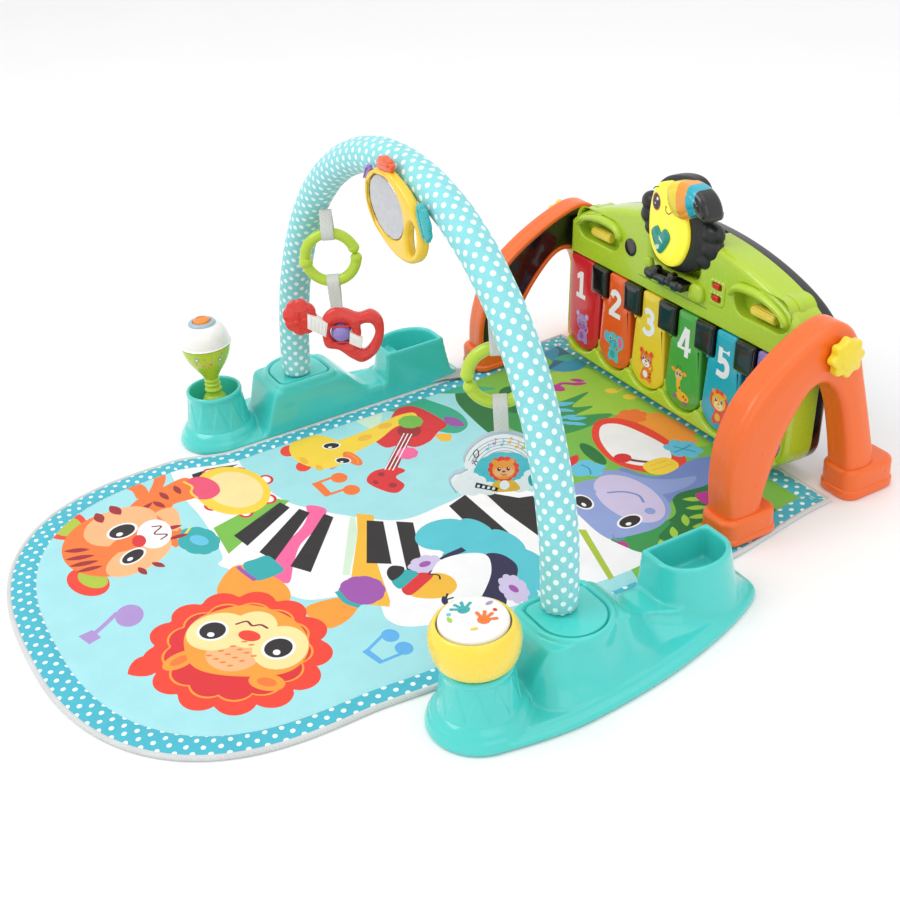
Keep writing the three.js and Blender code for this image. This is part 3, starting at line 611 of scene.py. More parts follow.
def plastic(name, code, roughness, coat, glow=0.0):
    """Moulded plastic of one colour, with a clear coat's gloss set on the shader itself."""
    m, n, shader = material(name)
    colour = linear(code)
    made = group_node(n, "Moulded", Vector=place_coords(n), Colour=colour, Drift=0.06,
        Roughness=roughness)
    n.put(shader.inputs["Base Color"], made.outputs["Colour"])
    n.put(shader.inputs["Roughness"], made.outputs["Roughness"])
    n.put(shader.inputs["Normal"], bump(n, made.outputs["Height"], 0.10, 0.0006))
    shader.inputs["Coat Weight"].default_value = coat
    shader.inputs["Coat Roughness"].default_value = 0.08
    if glow:
        n.put(shader.inputs["Emission Color"], made.outputs["Colour"])
        shader.inputs["Emission Strength"].default_value = glow
    return m


def printed(name, roughness, coat):
    """Printed pictures on plastic: the colour is the one kept on the surface."""
    m, n, shader = material(name)
    ink = n.add("ShaderNodeAttribute", attribute_name="ink").outputs["Color"]
    made = group_node(n, "Moulded", Vector=place_coords(n), Colour=ink, Drift=0.05,
        Roughness=roughness)
    n.put(shader.inputs["Roughness"], made.outputs["Roughness"])
    n.put(shader.inputs["Normal"], bump(n, made.outputs["Height"], 0.08, 0.0005))
    n.put(shader.inputs["Base Color"], made.outputs["Colour"])
    shader.inputs["Coat Weight"].default_value = coat
    return m


def shaded(n, colour, shade):
    """The colour times a grey of the given shade."""
    grey = n.add("ShaderNodeCombineColor", {0: shade, 1: shade, 2: shade}).outputs[0]
    return n.mix(1.0, colour, grey, "MULTIPLY")


def dotted_cloth(name, ground, pitch, row, radius, marked=False):
    """Woven polyester with white dots. With marked, the dots and ground keep to where the border
    mask is one, and the printed colour shows elsewhere."""
    m, n, shader = material(name)
    uv = n.add("ShaderNodeUVMap", uv_map="along").outputs[0]
    dots = group_node(n, "Dots", Vector=uv, Pitch=pitch, Row=row, Radius=radius)
    colour = n.mix(dots.outputs["Mask"], linear(ground), linear(INK["dot"]))
    if marked:
        ink = n.add("ShaderNodeAttribute", attribute_name="ink").outputs["Color"]
        mask = n.add("ShaderNodeAttribute", attribute_name="border").outputs["Fac"]
        colour = n.mix(n.math("GREATER_THAN", mask, 0.5), ink, colour)
    weave = group_node(n, "Weave", Vector=place_coords(n), Threads=2600.0)
    shade = n.span(weave.outputs["Shade"], 0.1, 1.1, 0.90, 1.06)
    soft = n.add("ShaderNodeTexNoise", {"Vector": place_coords(n), "Scale": 26.0,
            "Detail": 3.0}).outputs[0]
    height = n.math("ADD", n.math("MULTIPLY", weave.outputs["Height"], 0.08), n.math("MULTIPLY",
            soft, 3.0))
    n.put(shader.inputs["Base Color"], shaded(n, colour, shade))
    n.put(shader.inputs["Normal"], bump(n, height, 0.35, 0.0012))
    shader.inputs["Roughness"].default_value = 0.62
    shader.inputs["Sheen Weight"].default_value = 0.18
    shader.inputs["Sheen Roughness"].default_value = 0.4
    return m


def webbing(name, code, ribs=1500.0):
    """Narrow woven tape: ribs across it, and a soft twill."""
    m, n, shader = material(name)
    weave = group_node(n, "Weave", Vector=place_coords(n), Threads=ribs * 2)
    shade = n.span(weave.outputs["Shade"], 0.0, 1.1, 0.78, 1.04)
    n.put(shader.inputs["Base Color"], shaded(n, linear(code), shade))
    n.put(shader.inputs["Normal"], bump(n, weave.outputs["Height"], 0.3, 0.0005))
    shader.inputs["Roughness"].default_value = 0.75
    shader.inputs["Sheen Weight"].default_value = 0.15
    return m


def mirror_film():
    """Silvered plastic film: a metal with slow ripples and a few cloudy patches."""
    m, n, shader = material("mirror_film")
    at = place_coords(n)
    slow = n.add("ShaderNodeTexNoise", {"Vector": at, "Scale": 22.0, "Detail": 2.0}).outputs[0]
    fine = n.add("ShaderNodeTexNoise", {"Vector": at, "Scale": 160.0, "Detail": 5.0}).outputs[0]
    n.put(shader.inputs["Base Color"], n.mix(fine, (0.42, 0.43, 0.45, 1), (0.60, 0.61, 0.63, 1)))
    n.put(shader.inputs["Roughness"], n.span(fine, 0.3, 0.7, 0.04, 0.12))
    n.put(shader.inputs["Normal"], bump(n, slow, 0.25, 0.002))
    shader.inputs["Metallic"].default_value = 1.0
    return m


def clear_plastic(name, code):
    """Thin glittery translucent plastic, kept mostly solid so that its veins show."""
    m, n, shader = material(name)
    flakes = n.add("ShaderNodeTexVoronoi", {"Vector": place_coords(n), "Scale": 420.0}).outputs[0]
    spark = n.span(flakes, 0.0, 0.25, 1.0, 0.0)
    base = linear(code)
    bright = tuple(min(1.0, c * 1.8 + 0.1) for c in base[:3]) + (1.0,)
    n.put(shader.inputs["Base Color"], n.mix(n.math("MULTIPLY", spark, 0.5), base, bright))
    n.put(shader.inputs["Roughness"], n.span(flakes, 0.0, 0.5, 0.12, 0.3))
    n.put(shader.inputs["Normal"], bump(n, flakes, 0.15, 0.0005))
    shader.inputs["Coat Weight"].default_value = 0.5
    return m


def backdrop():
    m, n, shader = material("pale_floor")
    grain = n.add("ShaderNodeTexNoise", {"Vector": place_coords(n), "Scale": 3.0,
            "Detail": 2.0}).outputs[0]
    n.put(shader.inputs["Base Color"], n.mix(grain, (0.90, 0.90, 0.90, 1), (0.93, 0.93, 0.93, 1)))
    shader.inputs["Roughness"].default_value = 0.9
    return m


MATERIALS = {}


def make_materials():
    """Every finish of the gym, once. The groups come first because the materials place them."""
    p = bpy.context.scene.gym_plastics
    s = bpy.context.scene.gym_sleeve
    b = bpy.context.scene.gym_mat
    moulded_group(), weave_group(), dots_group()
    table = {"turquoise": ("#45cdc6", 0.20, 0.5), "orange": ("#f0691c", 0.30, 0.25),
        "black": ("#0d0c0d", 0.16, 0.5), "soft_black": ("#121112", 0.42, 0.12), "lime": ("#b0cd2c",
            0.24, 0.35), "link": ("#b3cf2a", 0.22, 0.4), "white": ("#f0efea", 0.22, 0.4),
        "yellow": ("#f2d644", 0.26, 0.35), "red": ("#dd3027", 0.24, 0.35), "lilac": ("#8f7cc4", 0.2,
            0.4), "key_1": ("#d3222c", 0.2, 0.45), "key_2": ("#ee5f1f", 0.2, 0.45),
        "key_3": ("#f0cf2c", 0.2, 0.45), "key_4": ("#4aa63c", 0.2, 0.45), "key_5": ("#17a9bd", 0.2,
            0.45), "key_6": ("#8c77bd", 0.2, 0.45), "teal": ("#158f83", 0.25, 0.4),
        "grey_blue": ("#a9bcc8", 0.35, 0.2), "card": ("#edf1f2", 0.35, 0.2),
        "ring_grey": ("#9db6c4", 0.3, 0.3), "button": ("#f08a24", 0.25, 0.4), "amber": ("#f39a2c",
            0.25, 0.4), "pale_core": ("#e6e6e0", 0.4, 0.1), "under": ("#4a4d50", 0.5, 0.05),
        "board": ("#1f6a38", 0.4, 0.2), "knob": ("#eed52a", 0.27, 0.3), "mirror_rim": ("#ecc62b",
            # groove_shade is a darker lime for the thin strip across the panel's face: painted
            # shade of a groove.
            0.27, 0.35), "groove_shade": ("#6f8f12", 0.4, 0.1),}
    for name, (code, rough, coat) in table.items():
        MATERIALS[name] = plastic(name + "_plastic", code, rough * p.roughness, coat * p.gloss)
    MATERIALS["glow_yellow"] = plastic("lit_yellow_plastic", "#f6e63a", 0.3, 0.3, glow=p.glow)
    MATERIALS["sticker"] = printed("sticker_print", 0.28, 0.3)
    MATERIALS["sleeve"] = dotted_cloth("sleeve_cloth", "#86d4d9", s.pitch, s.row, s.dot)
    MATERIALS["mat"] = dotted_cloth("mat_cloth", INK["border"], b.pitch, b.row, b.dot, marked=True)
    MATERIALS["piping"] = webbing("piping_tape", "#d3d6d6", 900.0)
    MATERIALS["tape"] = webbing("grey_tape", "#dadad4")
    MATERIALS["strap"] = webbing("ribbed_strap", "#b6b8b8", 700.0)
    MATERIALS["mirror"] = mirror_film()
    MATERIALS["orange_leaf"] = clear_plastic("orange_leaf_plastic", "#e2561c")
    MATERIALS["teal_leaf"] = clear_plastic("teal_leaf_plastic", "#1fa9ad")
    MATERIALS["lilac_leaf"] = clear_plastic("lilac_leaf_plastic", "#8f74c0")
    MATERIALS["floor"] = backdrop()


# ---- settings ---------------------------------------------------------------------------


class GymMatSettings(bpy.types.PropertyGroup):
    """The printed mat."""
    band: FloatProperty(name="Border width", description="Width of the dotted border at the sides",
        default=0.025, unit="LENGTH")
    front_band: FloatProperty(name="Border width in front",
        description="Extra width at the round end", default=0.006, unit="LENGTH")
    pitch: FloatProperty(name="Dot pitch", description="From dot to dot along the border",
        default=0.018, unit="LENGTH")
    row: FloatProperty(name="Dot row", description="From row to row across the border",
        default=0.0088, unit="LENGTH")
    dot: FloatProperty(name="Dot radius", description="Radius of a border dot", default=0.0027,
        unit="LENGTH")
    ground: FloatVectorProperty(name="Ground", description="Colour behind the pictures",
        subtype="COLOR", size=3, default=linear(INK["aqua"])[:3], min=0, max=1)


class GymSleeveSettings(bpy.types.PropertyGroup):
    """The padded sleeve on the arch."""
    radius: FloatProperty(name="Radius", description="Radius of the padded sleeve", default=0.0190,
        unit="LENGTH")
    pitch: FloatProperty(name="Dot pitch", description="From dot to dot round the sleeve",
        default=0.01507, unit="LENGTH")
    row: FloatProperty(name="Dot row", description="From row to row along the sleeve",
        default=0.0078, unit="LENGTH")
    dot: FloatProperty(name="Dot radius", description="Radius of a sleeve dot", default=0.0028,
        unit="LENGTH")


class GymPlasticSettings(bpy.types.PropertyGroup):
    """The moulded parts."""
    roughness: FloatProperty(name="Roughness",
        description="Scale on every moulded part's roughness", default=1.0)
    gloss: FloatProperty(name="Gloss", description="Scale on every moulded part's clear coat",
        default=1.0)
    glow: FloatProperty(name="Glow", description="How brightly the bird's belly is lit",
        default=0.35)


# ---- the mat ----------------------------------------------------------------------------


def eased(table, column, y):
    """Value down a table's column at y, eased between rows by 3u^2 - 2u^3."""
    i = np.clip(np.searchsorted(table[:, 0], y), 1, len(table) - 1)
    u = np.clip((y - table[i - 1, 0]) / (table[i, 0] - table[i - 1, 0]), 0, 1)
    return table[i - 1, column] + (table[i, column] - table[i - 1, column]) * u * u * (3 - 2 * u)


def mat_outline():
    """The mat's edge: |cos|^0.8, |sin|^0.8 round the end, then the two eased side lines."""
    middle, half = (MAT_EDGES[0, 1] + MAT_EDGES[0, 2]) / 2, (MAT_EDGES[0, 2] - MAT_EDGES[0, 1]) / 2
    t = np.pi + np.pi * np.linspace(0, 1, 121)
    c, s = np.cos(t), np.sin(t)
    front = np.c_[middle + half * np.sign(c) * np.abs(c) ** MAT_ROUND, MAT_EDGES[0, 0]
        - (MAT_EDGES[0, 0] - MAT_FRONT) * np.abs(s) ** MAT_ROUND]
    y = np.linspace(-205, MAT_REAR, 72)
    right = np.c_[eased(MAT_EDGES, 2, y), y]
    left = np.c_[eased(MAT_EDGES, 1, y), y][::-1]
    rear = np.c_[np.linspace(right[-1, 0], left[0, 0], 54)[1:-1], np.full(52, MAT_REAR)]
    return np.vstack([front, right, rear, left])


def eye(x, y, a, b, turn_by=0.0):
    """A round printed eye: white rim, dark ball and a glint."""
    return [("white", oval(x, y, a * 1.22, b * 1.2, turn_by)), ("black", oval(x, y, a, b, turn_by)),
        ("white", oval(x + a * 0.35, y - b * 0.3, a * 0.3, b * 0.26, turn_by, 14))]


def mat_pictures():
    """The printed scene, in millimetres on the mat, lowest first: a jungle at the piano's end, and
    a band of generic animals round a curved keyboard."""
    a = [("lawn", np.array([(-320, 205), (-255, 196), (-215, 226), (-170, 214), (-118, 196),
            (-60, 205), (-10, 190), (40, 170), (90, 160), (150, 168), (205, 150), (290, 130),
            (290, 440), (-330, 440)])), ("lime", spline([(-200, 300), (-190, 372), (-120, 404),
            (0, 408), (70, 392), (60, 356), (10, 345), (-60, 330), (-95, 282), (-150, 268)])),
        ("leaf", spline([(-165, 240), (-130, 285), (-128, 340), (-108, 300), (-92, 322), (-85, 290),
            (-60, 330), (-52, 270), (-70, 220), (-120, 205)])),
        ("deep", spline([(-240, 205), (-195, 222), (-140, 214), (-100, 196), (-60, 192),
            (-105, 176), (-165, 178), (-215, 186)])),
        ("mint", spline([(-290, 88), (-276, 140), (-235, 158), (-190, 172), (-150, 165),
            (-140, 140), (-175, 118), (-215, 120), (-250, 96)])),
        ("pale", spline([(-290, 90), (-262, 96), (-225, 76), (-215, 58), (-262, 50), (-292, 62)])),
        ("mint", spline([(-292, 160), (-262, 196), (-212, 246), (-230, 200), (-258, 168)])),
        ("deep", spline([(-205, 250), (-196, 282), (-160, 262), (-138, 232), (-165, 226)])),
        ("red", np.array([(-300, 258), (-264, 262), (-262, 296), (-300, 300)])),
        ("sea", spline([(-292, 352), (-280, 376), (-245, 398), (-205, 392), (-188, 370),
            (-196, 346), (-215, 336), (-232, 352), (-262, 350)])),
        ("navy", spline([(-292, 356), (-262, 380), (-240, 366), (-222, 340), (-214, 338),
            (-226, 372), (-250, 392), (-284, 378)])), ("mint", leaf(-236, 356, 44, 20, 68)),
        ("deep", spline([(132, 300), (150, 330), (200, 345), (262, 330), (262, 170), (225, 160),
            (196, 168), (178, 214), (170, 250), (140, 270)])),
        ("leaf", spline([(150, 176), (176, 236), (196, 206), (222, 226), (214, 182), (242, 170),
            (196, 156)]))]
    a += [("lime", leaf(150 + 17 * k, 276 - 9 * k, 26, 9, 55 + 6 * k)) for k in range(5)]
    a += [("lime", leaf(196 + 12 * k, 246 - 26 * k, 24, 9, 150)) for k in range(3)]
    a += [("magenta", spline([(150, 296), (158, 318), (176, 312), (178, 294), (164, 290)])),
        ("magenta", oval(-162, 312, 13, 8, 20)), ("magenta", stroke([(-166, 312), (-168, 326),
            (-154, 340)], 7)), ("magenta", leaf(-172, 340, 22, 9, 40)),
        ("magenta", leaf(-160, 332, 24, 9, 62))]
    for x, y in ((-128, 276), (-122, 284), (-92, 268), (-84, 276)):
        a += [("sky", leaf(x, y, 26, 9, 62 + (x % 3) * 12)), ("sky", leaf(x + 8, y - 4, 24, 8, 40))]
    a += notes(-112, 366, 34, 12, "yellow")

    # drum with a sandy skin, its mallet and a hand
    a += [("amber", scallop(5, 352, 60, 36, 11, 0.16, 10)), ("orange", scallop(-40, 345, 20, 22, 7,
            0.2)), ("scarlet", spline([(-56, 300), (-50, 326), (-15, 343), (40, 346), (86, 334),
            (100, 302), (74, 274), (32, 260), (-22, 272)])),
        ("white", spline([(-44, 302), (-32, 322), (8, 332), (48, 334), (74, 318), (70, 290),
            (46, 271), (22, 268), (-18, 280)])), ("brown", stroke([(36, 276), (50, 284), (66, 298)],
            5)), ("red", oval(36, 275, 11, 11)), ("yellow", spline([(62, 288), (64, 316), (84, 322),
            (97, 308), (92, 286), (76, 280)])), ("mustard", stroke([(70, 290), (72, 314)], 2)),
        ("mustard", stroke([(80, 286), (82, 316)], 2))]
    # grey-blue river animal
    a += [("slate", spline([(52, 258), (88, 276), (96, 300), (88, 340), (98, 366), (124, 360),
            (142, 322), (138, 280), (150, 250), (110, 240)])),
        ("blue", spline([(40, 222), (54, 252), (86, 268), (108, 292), (120, 320), (132, 300),
            (128, 262), (100, 246), (66, 232)])), ("blue", spline([(50, 190), (58, 228), (84, 256),
            (124, 264), (160, 252), (178, 222), (176, 190), (166, 162), (150, 146), (120, 142),
            (92, 152), (66, 168)])), ("mauve", oval(112, 228, 57, 32, -3, 40)),
        ("blue", oval(75, 200, 7, 6)), ("blue", oval(148, 231, 7, 6)),
        ("slate", stroke([(88, 214), (98, 231), (114, 240), (130, 236)], 3)),
        ("slate", oval(124, 154, 7, 4, 10)), ("slate", oval(140, 150, 7, 4, -8)),
        ("slate", oval(158, 148, 6, 4)), ("magenta", spline([(178, 170), (192, 168), (206, 148),
            (196, 136), (180, 138), (174, 152)])),
        ("slate", stroke([(162, 168), (172, 166), (174, 176)], 2.2)), ("sky", scallop(62, 348, 26,
            20, 6, 0.28, 20)), ("sea", stroke([(50, 342), (62, 348), (76, 356)], 2)),
        ("sea", stroke([(62, 334), (62, 348), (60, 362)], 2))]
    a += eye(88, 180, 14, 9, -6) + eye(151, 200, 9.5, 14, 8)
    a += [("sky", scallop(30, 226, 24, 20, 5, 0.3, 40)),
        ("sea", stroke([(18, 226), (32, 228), (44, 222)], 2)), ("red", leaf(-4, 236, 34, 15, -60)),
        ("deep", oval(6, 252, 30, 9, -6))]

    # keyboard: white band, coloured and black keys
    a += [("white", spline([(-300, -104), (-232, -118), (-130, -108), (-84, -84), (-40, -50),
            (-4, -8), (-4, 50), (-6, 92), (28, 140), (80, 160), (150, 158), (196, 168), (222, 176),
            (226, 120), (214, 40), (196, -40), (176, -96), (150, -112), (108, -104), (88, -130),
            (66, -172), (0, -196), (-44, -222), (-62, -212), (-140, -204), (-220, -204),
            (-304, -184)], 10)), ("olive", np.array([(136, 150), (228, 122), (228, 115),
            (130, 143)])), ("lawn", np.array([(-140, -118), (-120, -102), (-60, -205),
            (-120, -200)])), ("pink", spline([(-98, -89), (-76, -74), (-48, -100), (-28, -130),
            (2, -152), (32, -172), (2, -182), (-32, -158), (-56, -118), (-78, -98)])),
        ("mustard", np.array([(-48, -48), (-33, -33), (40, -70), (135, -98), (118, -116),
            (62, -110), (-10, -66)])), ("pale", np.array([(-46, -58), (-12, -78), (52, -116),
            (58, -110), (-10, -66), (-44, -52)]))]
    for quad in ([(-124, -113), (-106, -108), (-62, -181), (-91, -186)], [(-97, -100), (-82, -93),
                (-16, -167), (-42, -175)], [(-70, -80), (-57, -74), (28, -143), (4, -157)],
            [(-28, -45), (-15, -30), (66, -62), (48, -84)], [(-6, -18), (8, -3), (86, -34),
                (92, -56), (60, -44)], [(-7, 76), (110, 76), (60, 46), (3, 48)], [(0, 97), (52, 95),
                (116, 100), (76, 132), (42, 140), (36, 124)], [(-300, -106), (-288, -108),
                (-282, -134), (-292, -158), (-300, -150)], [(-250, -152), (-238, -120),
                (-228, -182), (-250, -178)]):
        a.append(("black", np.array(quad)))
    # printed tambourine
    for x, y in ((-240, -158), (-220, -126), (-183, -106), (-139, -121), (-128, -156),
            (-166, -184)):
        a += [("red", oval(x, y, 12, 9)), ("white", oval(x, y, 8, 5.5))]
    a += [("yellow", oval(-185, -150, 62, 42, 4, 44)), ("cream", oval(-185, -147, 47, 31, 4, 40))]

    # striped cub
    a += [("orange", stroke([(-296, -206), (-262, -216), (-236, -232)], 15)),
        ("orange", stroke([(-236, -246), (-262, -246), (-284, -262), (-297, -286)], 17)),
        ("mustard", oval(-299, -300, 9, 12)), ("brown", stroke([(-272, -246), (-280, -262)], 6)),
        ("orange", spline([(-246, -186), (-198, -188), (-196, -222), (-168, -234), (-166, -262),
            (-210, -276), (-236, -252), (-242, -222)])),
        ("orange", stroke([(-172, -240), (-142, -246), (-112, -238)], 27)),
        ("skin", spline([(-190, -224), (-160, -226), (-140, -238), (-166, -252), (-192, -246)])),
        ("rose", spline([(-240, -188), (-238, -170), (-214, -160), (-190, -164), (-182, -180),
            (-194, -194), (-218, -190)])), ("yellow", stroke([(-240, -193), (-222, -188),
            (-210, -194), (-192, -192)], 3)), ("teal", scallop(-106, -224, 33, 22, 9, 0.07, 10)),
        ("sky", oval(-106, -223, 14, 8, 20)), ("yellow", stroke([(-138, -222), (-128, -232),
            (-124, -244)], 3))]
    a += [("maroon", leaf(x, y, 24, 8, t)) for x, y, t in ((-238, -206, 0), (-234, -226, 8),
            (-196, -232, 200), (-152, -252, 80), (-130, -252, 80), (-205, -262, 120))]
    a += [("scarlet", oval(-234, -346, 37, 25, 8)), ("olive", oval(-228, -344, 24, 16, 8)),
        ("scarlet", oval(-102, -356, 33, 20, 12)), ("olive", oval(-104, -350, 23, 13, 16)),
        ("orange", oval(-160, -305, 70, 62, -6, 44)), ("skin", oval(-190, -290, 40, 44, 10)),
        ("skin", oval(-116, -292, 27, 44, 24)), ("orange", leaf(-160, -250, 76, 34, -78)),
        ("white", oval(-150, -262, 31, 20, -12)), ("red", oval(-146, -282, 13, 8, -10)),
        ("brown", stroke([(-166, -260), (-160, -250), (-150, -262), (-140, -250), (-134, -260)],
            2.4)), ("maroon", leaf(-214, -282, 28, 13, -170)), ("maroon", leaf(-210, -306, 26, 12,
            180)), ("maroon", leaf(-160, -366, 34, 9, 70)), ("maroon", leaf(-144, -366, 34, 9, 74)),
        ("maroon", leaf(-128, -362, 30, 8, 78)), ("maroon", leaf(-178, -362, 30, 9, 62)),
        ("maroon", leaf(-96, -284, 20, 8, 30)), ("maroon", leaf(-96, -300, 20, 8, 10))]
    a += eye(-178, -292, 13.5, 15.5, 10) + eye(-120, -298, 10, 15, 32)

    # maned cub
    a += [("amber", spline([(18, -178), (52, -178), (66, -196), (40, -232), (4, -244), (-26, -222),
            (-30, -200)])), ("teal", spline([(-32, -184), (-30, -170), (-10, -166), (8, -168),
            (8, -198), (-16, -202), (-32, -198)])), ("violet", stroke([(-30, -206), (-14, -204),
            (6, -200)], 5)), ("amber", spline([(86, -140), (84, -176), (126, -172), (128, -148),
            (112, -126), (98, -128)])), ("violet", scallop(90, -111, 28, 24, 10, 0.05, 10)),
        ("teal", stroke([(76, -134), (98, -134), (114, -126)], 6)), ("scarlet", scallop(106, -262,
            106, 92, 13, 0.13, 14)), ("scarlet", leaf(74, -330, 40, 34, -84)),
        ("amber", scallop(106, -262, 84, 74, 13, 0.1, 14)), ("red", scallop(106, -262, 81.5, 71.5,
            13, 0.1, 14)), ("amber", oval(170, -257, 20, 12, 35)), ("orange", oval(170, -257, 11, 6,
            35)), ("amber", oval(88, -318, 12, 19, 10)), ("orange", oval(88, -318, 6, 11, 10)),
        ("amber", spline([(32, -262), (44, -222), (86, -196), (132, -194), (162, -214), (166, -244),
            (136, -288), (104, -310), (62, -304), (38, -286)])), ("skin", oval(110, -268, 30, 26,
            30)), ("cream", oval(66, -268, 31, 33, -30)), ("cream", oval(128, -224, 35, 29, -20)),
        ("cream", oval(84, -236, 30, 26, -30)), ("scarlet", oval(92, -243, 13, 8, 32)),
        ("brown", stroke([(66, -248), (68, -236), (78, -234), (82, -226), (92, -222)], 2.6))]
    a += eye(62, -272, 14.5, 13.5, 20) + eye(128, -226, 15.5, 14.5, 0)
    a += [("orange", oval(98 + 9 * (k % 4), -290 + 13 * (k // 4) + 4 * (k % 4), 3.4, 1.4, 60, 10))
        for k in range(14)]
    a += [("lilac", oval(-15, -337, 20, 15, -10)), ("lilac", stroke([(-28, -346), (-14, -366),
            (-2, -386)], 6)), ("lilac", np.array([(-14, -378), (4, -374), (8, -388), (-12, -394)]))]
    a += [("note_blue", oval(176, -122, 11, 9)), ("note_blue", oval(202, -120, 11, 9)),
        ("note_blue", stroke([(170, -126), (186, -156)], 4)),
        ("note_blue", stroke([(208, -124), (208, -152)], 4)),
        ("note_blue", np.array([(183, -158), (210, -152), (210, -146), (181, -151)]))]
    a += [("orange", oval(-132, -30, 12, 10)), ("orange", oval(-98, -30, 12, 10)),
        ("orange", stroke([(-138, -32), (-137, -62)], 5)),
        ("orange", stroke([(-104, -32), (-105, -62)], 5)),
        ("orange", np.array([(-140, -64), (-104, -63), (-104, -53), (-139, -53)]))]

    # long-necked calf and its guitar
    a += [("lilac", leaf(-240, -24, 50, 16, 196)), ("lilac", leaf(-176, -14, 26, 14, -36)),
        ("scarlet", oval(-230, -54, 14, 11, -20)), ("scarlet", oval(-184, -54, 13, 10, -20)),
        ("amber", spline([(-262, -30), (-240, -18), (-226, -30), (-232, -44)])),
        ("red", spline([(-243, 112), (-236, 132), (-200, 142), (-166, 143), (-156, 124),
            (-142, 104), (-140, 82), (-156, 70), (-162, 50), (-196, 50), (-206, 78), (-226, 92)])),
        ("yellow", spline([(-222, 122), (-204, 118), (-200, 84), (-184, 52), (-174, 12),
            (-170, -16), (-216, -20), (-214, 20), (-218, 60), (-226, 96)])),
        ("yellow", oval(-206, -24, 48, 32, 6, 40)), ("orange", oval(-163, 4, 21, 8, 4)),
        ("amber", stroke([(-180, 4), (-160, 8), (-148, 4)], 2)), ("mustard", oval(-200, 40, 7, 10)),
        ("mustard", oval(-212, 76, 7, 10)), ("mustard", oval(-196, -48, 10, 4)),
        ("mustard", oval(-168, -40, 8, 4)), ("maroon", oval(-181, 95, 17, 15)),
        ("maroon", np.array([(-186, 90), (-176, 100), (-106, 36), (-116, 24)])),
        ("red", spline([(-120, 12), (-112, 38), (-98, 44), (-92, 28), (-70, 28), (-60, 12),
            (-76, 0), (-104, -6)])), ("maroon", oval(-108, 16, 5, 4)),
        ("maroon", oval(-78, 16, 6, 5)), ("maroon", oval(-96, 2, 5, 3)),
        ("lawn", scallop(-201, 108, 18, 16, 9, 0.06)), ("pink", scallop(-133, 66, 15, 14, 8, 0.08)),
        ("violet", spline([(-186, 152), (-170, 162), (-150, 160), (-156, 148), (-172, 144)])),
        ("mustard", spline([(-152, 118), (-142, 134), (-128, 126), (-134, 116)]))]
    a += [("white", stroke([(-180 + 4 * k, 86 + 4 * k), (-116 + 4 * k, 24 + 4 * k)], 1.6))
        for k in (0.2, 1.1, 2.0)]
    a += eye(-208, -4, 7, 10, -35) + eye(-166, -8, 6, 9, -50)

    # cloud and resting bird
    a += [("cloud", scallop(118, 34, 96, 46, 9, 0.16, 6)), ("cloud", oval(50, 14, 30, 34)),
        ("ink", spline([(112, 30), (120, 46), (146, 50), (166, 38), (180, 18), (204, -2),
            (196, -26), (170, -10), (140, 8)])), ("ink", stroke([(88, 18), (92, -12), (112, -40)],
            9)), ("mauve", scallop(182, 24, 28, 15, 9, 0.16, -12)), ("mauve", scallop(88, -32, 16,
            20, 8, 0.14)), ("violet", oval(182, 24, 8, 4)), ("violet", oval(88, -32, 5, 7)),
        ("white", spline([(95, 12), (112, 32), (140, 22), (166, -2), (186, -30), (190, -60),
            (172, -92), (154, -108), (118, -90), (96, -60), (108, -40), (92, -16)])),
        ("mustard", spline([(108, -32), (124, -20), (144, -24), (152, -42), (142, -62), (126, -72),
            (112, -54)])), ("red", spline([(98, -46), (110, -34), (120, -50), (128, -72),
            (116, -76), (100, -64)])), ("teal", spline([(84, -56), (98, -46), (106, -60),
            (112, -76), (98, -78), (86, -72)])), ("black", spline([(70, -62), (80, -54), (90, -62),
            (94, -76), (82, -76), (72, -70)])),
        ("black", stroke([(106, -38), (114, -30), (122, -32)], 2)),
        ("black", stroke([(148, -38), (156, -44), (158, -36)], 2.4)), ("ink", leaf(166, -50, 18, 7,
            160))]
    return a


def mat_height(points, edge, band):
    """Height of the mat's face: wadding that thins towards its edge, a sewn groove where the border
    starts, small puckers along it, and slow waves."""
    distance, along = edge
    x, y = points.T
    waves = (0.35 * np.sin(x / 31 + 1.3 * np.sin(y / 47)) + 0.3 * np.sin(y / 37 + 1.1
            * np.sin(x / 53)) + 0.2 * np.sin((x + y) / 19))
    front = np.clip((-y - 150) / 200, 0, 1)
    seam = np.exp(-((distance - band) / 2.2) ** 2)
    pucker = np.sin(along / 4.2) * np.exp(-((distance - band * 0.55) / (band * 0.3)) ** 2)
    return 5.4 + 0.55 * waves - 2.2 * np.exp(-distance / 4) - 1.5 * seam + (0.18 + 0.45
        * front) * pucker


